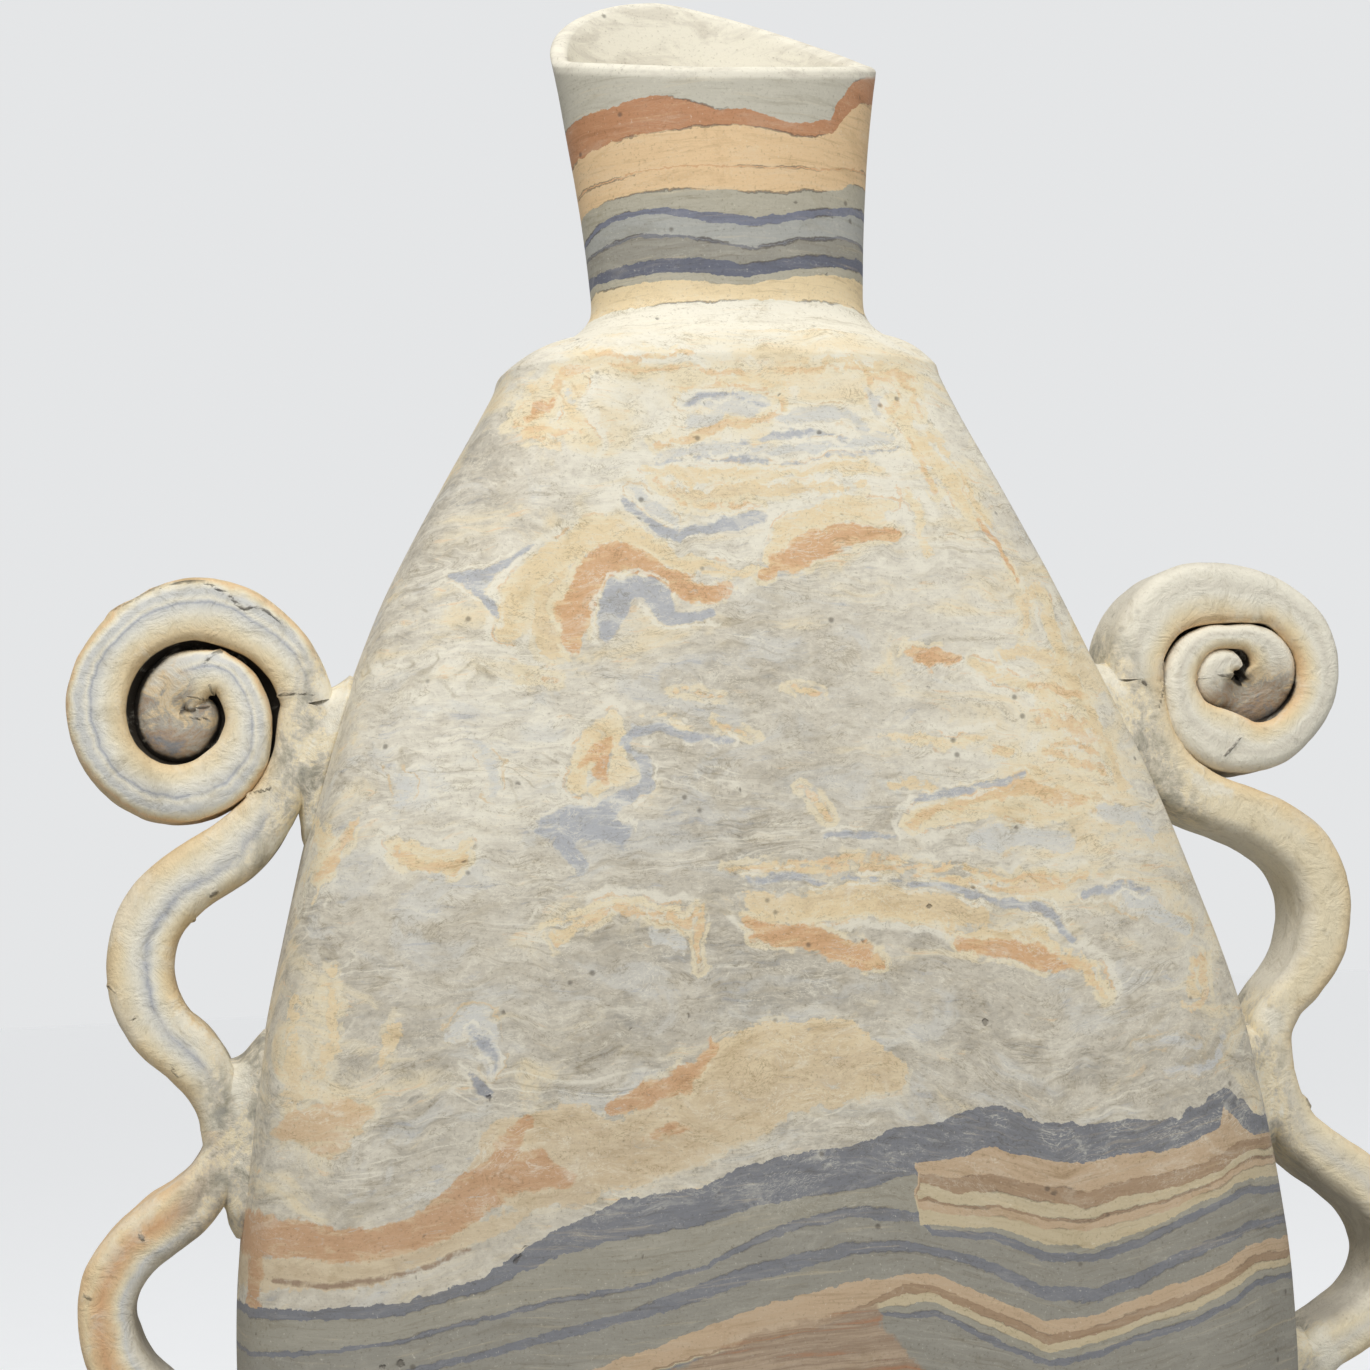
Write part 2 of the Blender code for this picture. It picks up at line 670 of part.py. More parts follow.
    def build(self):
        """Add the handle's six pieces."""
        scroll, scroll_sizes = self.scroll_path()
        upper, upper_sizes = self.upper_path()
        lower, lower_sizes = self.lower_path()
        add_stack(self.label + "_scroll", self.strap_loops(scroll, scroll_sizes, False), BUFF)
        add_stack(self.label + "_upper_strap", self.strap_loops(upper, upper_sizes), BUFF)
        add_stack(self.label + "_lower_strap", self.strap_loops(lower, lower_sizes), TAN)
        scroll_edge = self.edge(scroll, scroll_sizes, -1)
        upper_edge = self.edge(upper, upper_sizes)
        lower_edge = self.edge(lower, lower_sizes)
        joint = self.scroll_height
        self.build_pad(self.label + "_upper_pad", scroll_edge[2:0:-1] + upper_edge,
                       joint + UPPER_PAD_ABOVE, joint - self.upper_pad_below)
        middle = self.scroll_height - self.middle_drop
        self.build_pad(self.label + "_middle_pad", upper_edge + lower_edge,
                       middle + MIDDLE_PAD_ABOVE, middle - MIDDLE_PAD_BELOW)
        low = self.scroll_height - self.lower_drop
        self.build_pad(self.label + "_lower_pad", lower_edge,
                       low + LOWER_PAD_ABOVE, low + LOWER_PAD_BELOW)


def smooth_path(keys, lead=None):
    """Smooth line through key points, in near-equal steps, and each point's share of the length."""
    dense = []
    padded = [lead or mirrored(keys[0], keys[1]), *keys, mirrored(keys[-1], keys[-2])]
    for index in range(1, len(padded) - 2):
        segment = padded[index - 1:index + 3]
        dense += [curve_point(segment, step / PATH_SAMPLES) for step in range(PATH_SAMPLES)]
    dense.append(keys[-1])
    lengths = [0.0]
    for here, there in zip(dense, dense[1:]):
        lengths.append(lengths[-1] + math.dist(here, there))
    steps = round(lengths[-1] / STRAP_STEP)
    path = []
    for target in spread(0.0, lengths[-1], steps):
        index = max(1, min(i for i in range(len(lengths)) if lengths[i] >= target - 1e-9))
        before, after = lengths[index - 1], lengths[index]
        share = (target - before) / (after - before)
        start, end = dense[index - 1], dense[index]
        path.append(between(start, end, share))
    return path, spread(0.0, 1.0, steps)


def mirrored(end, neighbour):
    """Point as far beyond an end as its neighbour is before it."""
    return 2 * end[0] - neighbour[0], 2 * end[1] - neighbour[1]


def curve_point(segment, t):
    """Point between the two middle ones of four, on a curve that suits uneven spacing."""
    knots = [0.0]
    for here, there in zip(segment, segment[1:]):
        knots.append(knots[-1] + math.sqrt(math.dist(here, there)))
    place = knots[1] + (knots[2] - knots[1]) * t
    points = list(segment)
    for level in (1, 2, 3):
        lower = []
        for i in range(len(points) - 1):
            if level == 1:
                start, end = knots[i], knots[i + 1]
            elif level == 2:
                start, end = knots[i], knots[i + 2]
            else:
                start, end = knots[1], knots[2]
            share = (place - start) / (end - start)
            lower.append(tuple(a + (b - a) * share for a, b in zip(points[i], points[i + 1])))
        points = lower
    return points[0]


def level_points(line, top, bottom):
    """Points of a falling line between two levels, with one added on each level."""
    falling = [line[0]]
    for point in line[1:]:
        if point[1] < falling[-1][1] - LEVEL_MARGIN:
            falling.append(point)
    places = []
    for here, there in zip(falling, falling[1:]):
        for level in (top, bottom):
            if there[1] < level <= here[1]:
                share = (here[1] - level) / (here[1] - there[1])
                places.append((here[0] + (there[0] - here[0]) * share, level))
        if bottom + LEVEL_MARGIN < there[1] < top - LEVEL_MARGIN:
            places.append(there)
    return sorted(places, key=lambda place: -place[1])


def main():
    """Clear the scene's objects, then add every piece of the vase."""
    for leftover in list(bpy.data.objects):
        bpy.data.objects.remove(leftover, do_unlink=True)
    build_base()
    build_broad_slab("front_slab", -1)
    build_broad_slab("back_slab", 1)
    build_side_slab("left_side_slab", -1)
    build_side_slab("right_side_slab", 1)
    build_shoulder()
    build_neck_coil()
    build_neck()
    left = Handle(
        label="left", side=-1, scroll_height=LEFT_SCROLL_HEIGHT, scroll_radius=LEFT_SCROLL_RADIUS,
        scroll_strap=LEFT_SCROLL_STRAP, scroll_gap=LEFT_SCROLL_GAP, scroll_eye=LEFT_SCROLL_EYE,
        scroll_clearance=LEFT_SCROLL_CLEARANCE, departure=LEFT_DEPARTURE, loop_strap=LEFT_LOOP_STRAP,
        lower_strap=LEFT_LOWER_STRAP, pressed_strap=LEFT_PRESSED_STRAP, upper_loop=LEFT_UPPER_LOOP,
        middle_standoff=LEFT_MIDDLE_STANDOFF, middle_drop=LEFT_MIDDLE_DROP, lower_loop=LEFT_LOWER_LOOP,
        lower_standoff=LEFT_LOWER_STANDOFF, lower_drop=LEFT_LOWER_DROP, upper_pad_below=LEFT_UPPER_PAD_BELOW,
    )
    right = Handle(
        label="right", side=1, scroll_height=RIGHT_SCROLL_HEIGHT, scroll_radius=RIGHT_SCROLL_RADIUS,
        scroll_strap=RIGHT_SCROLL_STRAP, scroll_gap=RIGHT_SCROLL_GAP, scroll_eye=RIGHT_SCROLL_EYE,
        scroll_clearance=RIGHT_SCROLL_CLEARANCE, departure=RIGHT_DEPARTURE, loop_strap=RIGHT_LOOP_STRAP,
        lower_strap=RIGHT_LOWER_STRAP, pressed_strap=RIGHT_PRESSED_STRAP, upper_loop=RIGHT_UPPER_LOOP,
        middle_standoff=RIGHT_MIDDLE_STANDOFF, middle_drop=RIGHT_MIDDLE_DROP, lower_loop=RIGHT_LOWER_LOOP,
        lower_standoff=RIGHT_LOWER_STANDOFF, lower_drop=RIGHT_LOWER_DROP, upper_pad_below=RIGHT_UPPER_PAD_BELOW,
    )
    left.build()
    right.build()


main()
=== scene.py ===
"""Looks of a slab-built vase in marbled clay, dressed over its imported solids.

Units are metres, +Z is up, the broad front faces -Y and +X is to the right seen from the front.
"""
from __future__ import annotations

import functools
import itertools
import logging
import math
from dataclasses import dataclass, field
from enum import Enum

import bmesh
import bpy
import numpy as np
from mathutils import Matrix, Vector

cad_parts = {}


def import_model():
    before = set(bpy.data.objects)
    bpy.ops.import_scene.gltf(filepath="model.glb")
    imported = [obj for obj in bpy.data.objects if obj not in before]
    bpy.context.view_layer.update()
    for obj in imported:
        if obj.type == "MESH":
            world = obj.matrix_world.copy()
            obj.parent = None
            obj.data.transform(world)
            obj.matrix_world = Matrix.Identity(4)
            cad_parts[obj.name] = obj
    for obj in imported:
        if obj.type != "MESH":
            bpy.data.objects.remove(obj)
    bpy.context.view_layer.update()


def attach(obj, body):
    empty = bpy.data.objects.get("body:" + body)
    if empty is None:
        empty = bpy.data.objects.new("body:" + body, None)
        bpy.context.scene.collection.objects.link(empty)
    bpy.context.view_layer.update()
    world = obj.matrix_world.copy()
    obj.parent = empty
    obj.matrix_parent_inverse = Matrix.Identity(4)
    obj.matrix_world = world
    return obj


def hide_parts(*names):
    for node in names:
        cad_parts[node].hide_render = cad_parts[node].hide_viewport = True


Array = np.ndarray
Socket = bpy.types.NodeSocket

LOG = logging.getLogger("vase")
MM = 0.001
# Distance in millimetres that stands for nowhere near a mark
FAR = 50.0
# Chains of points, each point its x, z and half-width in millimetres
Strokes = tuple[tuple[tuple[float, float, float], ...], ...]


class Tone(Enum):
    """Clays and slips of the vase, and darks for its seams and its painted shade, as colours on an 8-bit display."""

    # Ground of the body, from its greyest clay to its palest slip
    ASH = (176, 170, 157)
    STONE = (198, 190, 173)
    PUTTY = (216, 208, 190)
    SHELL = (231, 224, 206)
    MILK = (247, 241, 222)
    # Warm clays
    CREAM = (245, 231, 197)
    STRAW = (243, 221, 178)
    TAN = (228, 203, 160)
    PEACH = (237, 204, 158)
    TERRACOTTA = (225, 180, 134)
    BROWN = (176, 149, 120)
    # Cool clays
    MIST = (221, 220, 213)
    BLUE = (186, 188, 192)
    SLATE = (133, 134, 138)
    # Layers of the belly, which are greyer than the same clays above them
    BELLY_GREY = (158, 154, 142)
    BELLY_PUTTY = (168, 163, 148)
    BELLY_CREAM = (210, 194, 160)
    BELLY_TAN = (206, 180, 148)
    # Layers of the neck
    NECK_GREY = (203, 198, 181)
    NECK_BRICK = (197, 143, 103)
    NECK_OLIVE = (187, 181, 162)
    NECK_PALE = (178, 178, 171)
    NECK_BLUE = (128, 131, 145)
    NECK_DEEP = (108, 111, 124)
    # Dark seams between clay layers; the same dark is also painted shade in pits and cracks
    SHADOW = (84, 76, 66)
    # Painted shade, nearly black, deep in the gaps of the scrolls
    PAINTED_GAP_SHADE = (40, 36, 32)

    @property
    def linear(self) -> tuple[float, float, float, float]:
        """The colour in scene-linear values, with full alpha."""
        shares = [channel / 255 for channel in self.value]
        return (*[s / 12.92 if s <= 0.04045 else ((s + 0.055) / 1.055) ** 2.4 for s in shares], 1.0)


def smoothstep(low: float, high: float, values: Array) -> Array:
    """Ease values from 0 at low to 1 at high.

    Args:
        low: Value that gives 0.
        high: Value that gives 1.
        values: Values to ease.

    Returns:
        Eased shares between 0 and 1.
    """
    share = np.clip((values - low) / (high - low), 0.0, 1.0)
    return share * share * (3 - 2 * share)


class ValueNoise:
    """Smooth three-dimensional noise read from a small seeded lattice."""

    SIZE = 23

    def __init__(self, seed: int) -> None:
        """Fill the lattice.

        Args:
            seed: Number that fixes the noise.
        """
        self.lattice = np.random.default_rng(seed).uniform(-1.0, 1.0, (self.SIZE,) * 3)

    def read(self, points: Array, length: float) -> Array:
        """Read the noise.

        Args:
            points: Places in metres, three to each row.
            length: Size of one lump in metres.

        Returns:
            One value between -1 and 1 for each place.
        """
        places = np.asarray(points) / length
        cell = np.floor(places).astype(int)
        share = places - cell
        share = share * share * (3 - 2 * share)
        total = np.zeros(places.shape[:-1])
        for corner in itertools.product((0, 1), repeat=3):
            index = (cell + corner) % self.SIZE
            weight = np.prod(np.where(np.array(corner) == 1, share, 1 - share), axis=-1)
            total += weight * self.lattice[index[..., 0], index[..., 1], index[..., 2]]
        return total

    def lumps(self, points: Array, *sizes: tuple[float, float, float]) -> Array:
        """Add up lumps of several sizes, each from 0 to its own height.

        Args:
            points: Places in metres, three to each row.
            sizes: Height, shift and length of each size, in metres.

        Returns:
            One height for each place.
        """
        return sum(height * (self.read(points + shift, length) * 0.5 + 0.5) for height, shift, length in sizes)


def nearest(strokes: Strokes, x: Array, z: Array) -> Array:
    """Distance to the nearest edge of several strokes of clay, negative inside them.

    Args:
        strokes: The strokes.
        x: Places across the face in millimetres.
        z: Heights in millimetres.

    Returns:
        Distances in millimetres, at most FAR.
    """
    found = np.full(x.shape, FAR)
    for (x0, z0, w0), (x1, z1, w1) in itertools.chain(*(zip(stroke, stroke[1:]) for stroke in strokes)):
        run, rise = x1 - x0, z1 - z0
        share = np.clip(((x - x0) * run + (z - z0) * rise) / (run * run + rise * rise), 0.0, 1.0)
        gap = np.hypot(x - x0 - run * share, z - z0 - rise * share)
        found = np.minimum(found, gap - w0 - (w1 - w0) * share)
    return found


@dataclass(frozen=True)
class Strata:
    """Layers of clay stacked in height: each boundary is a line of heights over places across."""

    name: str
    across: tuple[float, ...]
    boundaries: tuple[tuple[float, ...], ...]
    tones: tuple[Tone, ...]
    seam: float
    reach: float = 6.0

    @property
    def marks(self) -> list[float]:
        """Layer numbers of the boundaries, from 1 at the highest to 0, spaced as the layers are thick."""
        lines = np.array(self.boundaries, dtype=float)
        spans = np.maximum((lines[:-1] - lines[1:]).mean(axis=1), 0.5)
        return [1.0, *(1.0 - np.cumsum(spans) / spans.sum())]

    def level(self, x: Array, z: Array) -> tuple[Array, Array]:
        """Read the layer number, from 0 at the lowest boundary to 1 at the highest and a little beyond both.

        Args:
            x: Places across the face in millimetres.
            z: Heights in millimetres.

        Returns:
            The layer number, and how fast it rises with height, per millimetre, or 0 where the stack has run out.
        """
        lines = [np.interp(x, self.across, line) for line in self.boundaries]
        lines = [lines[0] + self.reach, *lines, lines[-1] - self.reach]
        marks = self.marks
        beyond = self.reach * (marks[0] - marks[1]) / max(3.0, float((lines[1] - lines[2]).mean()))
        marks = [1.0 + beyond, *marks, -beyond]
        level, steep = np.full(x.shape, -beyond), np.zeros(x.shape)
        for high, low, upper, lower in zip(lines, lines[1:], marks, marks[1:]):
            span = np.maximum(high - low, 0.05)
            level += np.clip((z - low) / span, 0.0, 1.0) * (upper - lower)
            steep += np.where((z > low - 0.7) & (z < high + 0.7), (upper - lower) / (span + 1.4), 0.0)
        return level, np.where(lines[1] - lines[-2] < 0.4, 0.0, np.minimum(steep, 0.2))


# Stacks of layers: name, places across, boundaries from the highest down, tones from the lowest up, and how dark
# the seams are
STACKS = (
    Strata(
        "belly",
        (-108, -95, -80, -65, -50, -35, -20, -10, 0, 10, 20, 24.5, 27, 32, 40, 50, 60, 70, 80, 90, 92.5, 96, 100, 110),
        (
            (113.9, 114.1, 114.6, 118.2, 126.5, 132, 133.5, 137.5, 138.5, 139.5, 142.5, 143, 143.3, 144.2, 146.4,
             142.8, 141.6, 141.8, 141.8, 146.8, 148.2, 146.2, 140.8, 140),
            (112.6, 112.3, 112.7, 116, 121.6, 124.7, 126.2, 128.7, 130.2, 130.7, 132.7, 133.1, 128.6, 126.6, 126.4,
             123.4, 122.4, 124.4, 126.2, 129.3, 130.8, 131.8, 132.6, 132.4),
            (105.4, 106.4, 107.9, 110.9, 113.7, 115.2, 118, 122.7, 126.4, 127.9, 126.7, 126, 122.3, 121.8, 120.8,
             116.3, 115.6, 117.9, 121.7, 125.3, 126, 126.6, 126.1, 126),
            (104.7, 105.7, 107.2, 110.2, 113, 114.5, 117.1, 121.2, 124.3, 125.2, 124, 124, 120.7, 120.2, 119.2, 114.3,
             113.6, 116.1, 119.9, 123.6, 124.3, 125, 124.4, 124.2),
            (99.5, 100.5, 102, 104.1, 107.5, 110.8, 115, 117.8, 119.4, 120.8, 120.4, 119.6, 118.8, 117.6, 114.6, 109.4,
             108.3, 111, 115, 118, 118.6, 119.6, 119.6, 119.4),
            (98.5, 99.5, 101, 102.9, 105.5, 108.2, 111.4, 113.8, 116.2, 118.2, 118.2, 117.6, 116.8, 115.6, 112.2,
             106.8, 105.5, 108.4, 112.8, 116, 116.7, 117.8, 117.8, 117.6),
            (60,) * 24,
        ),
        (Tone.BELLY_GREY, Tone.SLATE, Tone.BELLY_GREY, Tone.SLATE, Tone.BELLY_PUTTY, Tone.SLATE),
        0.3,
    ),
    # Warm layers under the belly's, folded in from the right
    Strata(
        "fold",
        (-200, -58.1, -58, -35, -20, -10, 0, 10, 20, 24.5, 27, 32, 40, 50, 60, 70, 80, 90, 92.5, 96, 100, 110),
        (
            (94.4, 94.4, 96.6, 102, 106.5, 109.5, 111.5, 113.5, 113.6, 113.6, 113.6, 111.4, 107.6, 102.7, 103.6, 106.5,
             109, 112.7, 113.8, 115.3, 115.6, 115.4),
            (94.4, 94.4, 95, 98, 101, 103, 104.5, 107.5, 111.5, 111.8, 111.4, 108.9, 105, 100.1, 101.3, 104.2, 106.5,
             110.2, 111.2, 112.8, 113.1, 112.9),
            (94.4, 94.4, 94.9, 97.9, 100.9, 102.9, 104.4, 107.4, 109.8, 110, 109.5, 106.9, 103, 98.3, 99.3, 102.4,
             104.7, 108.4, 109.4, 111, 111.3, 111.1),
            (94.4, 94.4, 94.8, 97.8, 100.8, 102.8, 104.3, 107.3, 107.6, 108.4, 108, 105.2, 101.2, 96.6, 97.6, 100.8,
             103, 106.8, 107.8, 109.4, 109.7, 109.5),
            (94.4, 94.4, 94.7, 97.7, 100.7, 102.7, 104.2, 107.2, 106.2, 106.6, 106.4, 103.6, 99.4, 95, 96.1, 99.2,
             101.4, 105.2, 106.2, 107.8, 108.1, 107.9),
            (94.4, 94.4, 94.6, 97.6, 100.6, 102.6, 104.1, 107.1, 105.4, 105.2, 105, 102.2, 98, 93.6, 94.7, 97.8, 100,
             103.8, 104.8, 106.4, 106.7, 106.5),
        ),
        (Tone.SLATE, Tone.BELLY_PUTTY, Tone.BELLY_CREAM, Tone.BROWN, Tone.BELLY_TAN),
        0.3,
    ),
    # A block of warm layers that is cut off blunt on its left
    Strata(
        "block",
        (-200, 24.4, 24.5, 27, 32, 40, 50, 60, 70, 80, 90, 92.5, 96, 100, 110),
        (
            (129.4, 129.4, 135.5, 135.5, 135.9, 137.6, 135.3, 133.6, 135, 135.8, 139.4, 143.9, 139.2, 136.6, 136.4),
            (129.4, 129.4, 133.4, 133.4, 131.8, 132.2, 129.9, 127.9, 129.9, 130.8, 133.4, 135, 136, 136.3, 136.1),
            (129.4, 129.4, 131.4, 131.4, 128.9, 129, 126.6, 124.7, 126.8, 127.9, 130.7, 132.3, 133.4, 134, 133.8),
            (129.4, 129.4, 128.6, 128.6, 126.6, 126.4, 123.4, 122.4, 124.4, 126.2, 129.3, 130.8, 131.8, 132.6, 132.4),
            (129.4, 129.4, 128.1, 128.1, 126.1, 125.9, 122.9, 121.9, 123.9, 125.7, 128.8, 130.3, 131.3, 132.1, 131.9),
            (129.4, 129.4, 126, 126, 124.6, 124.1, 121, 120.4, 121.8, 124.1, 127.6, 128.9, 130, 130.5, 130.3),
            (129.4, 129.4, 123.2, 123.2, 122.5, 121.8, 118, 116.8, 119, 122.8, 126.5, 127.4, 128, 128, 127.8),
        ),
        (Tone.BELLY_CREAM, Tone.BELLY_TAN, Tone.BROWN, Tone.BELLY_CREAM, Tone.BROWN, Tone.BELLY_TAN),
        0.35,
    ),
    Strata(
        "neck",
        (-40, -36, -30, -25, -20, -15, -10, -6, -3, 0, 5, 10, 15, 20, 24, 26, 28, 30, 34, 40),
        (
            (400,) * 20,
            (361, 362.6, 363.6, 364.3, 365.3, 365.4, 364.1, 362.9, 361.5, 361.9, 361.7, 360.3, 359.6, 360.2, 362, 366,
             369, 372, 376, 378),
            (353, 353.8, 355.4, 356.3, 356.9, 357.3, 357.6, 357.8, 358, 358.3, 358, 357.5, 356.9, 357, 358.5, 361, 364,
             366, 369, 371),
            (347, 347.5, 348.4, 349, 349.6, 349.9, 350, 350, 349.8, 349.7, 349.6, 349.6, 349.7, 349.8, 350.6, 351.2,
             351.7, 352, 353, 354),
            (346.5, 347, 347.9, 348.5, 349.1, 349.4, 349.5, 349.5, 349.3, 349.2, 349.1, 349.1, 349.2, 349.3, 350.1,
             350.7, 351.2, 351.5, 352.5, 353.5),
            (341, 342, 343.7, 344.3, 344.8, 344.8, 344.6, 344.6, 344.4, 344.3, 343.9, 343.6, 344, 344.5, 346, 347, 348,
             348.6, 349.6, 350),
            (335, 336, 339.6, 340.8, 341, 341, 340, 339.4, 339.1, 338.7, 338, 338.7, 339.6, 340.7, 341.8, 342.2, 342.6,
             343, 343.7, 344),
            (334, 335, 338.4, 339.7, 340, 339.7, 338.4, 337.5, 337, 336.5, 336, 336.9, 337.8, 338.9, 340, 340.5, 341,
             341.4, 342.1, 342.4),
            (332, 333, 334.4, 335.5, 335.6, 335.2, 334.4, 333.6, 332.9, 332.2, 331.5, 332.5, 333.6, 334.5, 335.4,
             335.7, 335.3, 334.6, 334.6, 334.6),
            (331.4, 332.4, 333.8, 334.9, 335, 334.6, 333.8, 333, 332.3, 331.6, 330.9, 331.9, 333, 333.9, 334.8, 335.1,
             334.7, 334, 334, 334),
            (330, 331, 329.2, 330, 330, 329.9, 329.6, 329.2, 328.6, 328, 328, 329, 329.8, 330.6, 331, 331.2, 331.5,
             331.7, 332, 332),
            (327, 327.5, 327.3, 327.2, 327, 326.7, 326.3, 325.5, 325, 324.5, 324.8, 325.8, 327, 328, 328.5, 328.7,
             328.9, 329, 329, 329),
            (325.4, 325.9, 325.7, 325.6, 325.4, 325.1, 324.6, 323.9, 323.4, 322.9, 323.2, 324.2, 325.4, 326.4, 326.9,
             327.1, 327.3, 327.4, 327.4, 327.4),
            (320, 320, 320, 320, 320, 319.8, 319.6, 319.5, 319.5, 319.5, 319.5, 319.6, 319.8, 320, 320, 320, 320, 320,
             320, 320),
            (312,) * 20,
        ),
        (Tone.MILK, Tone.STRAW, Tone.NECK_OLIVE, Tone.NECK_DEEP, Tone.BELLY_GREY, Tone.SLATE, Tone.NECK_PALE,
         Tone.NECK_BLUE, Tone.NECK_OLIVE, Tone.PEACH, Tone.TERRACOTTA, Tone.PEACH, Tone.NECK_BRICK, Tone.NECK_GREY),
        0.6,
    ),
)

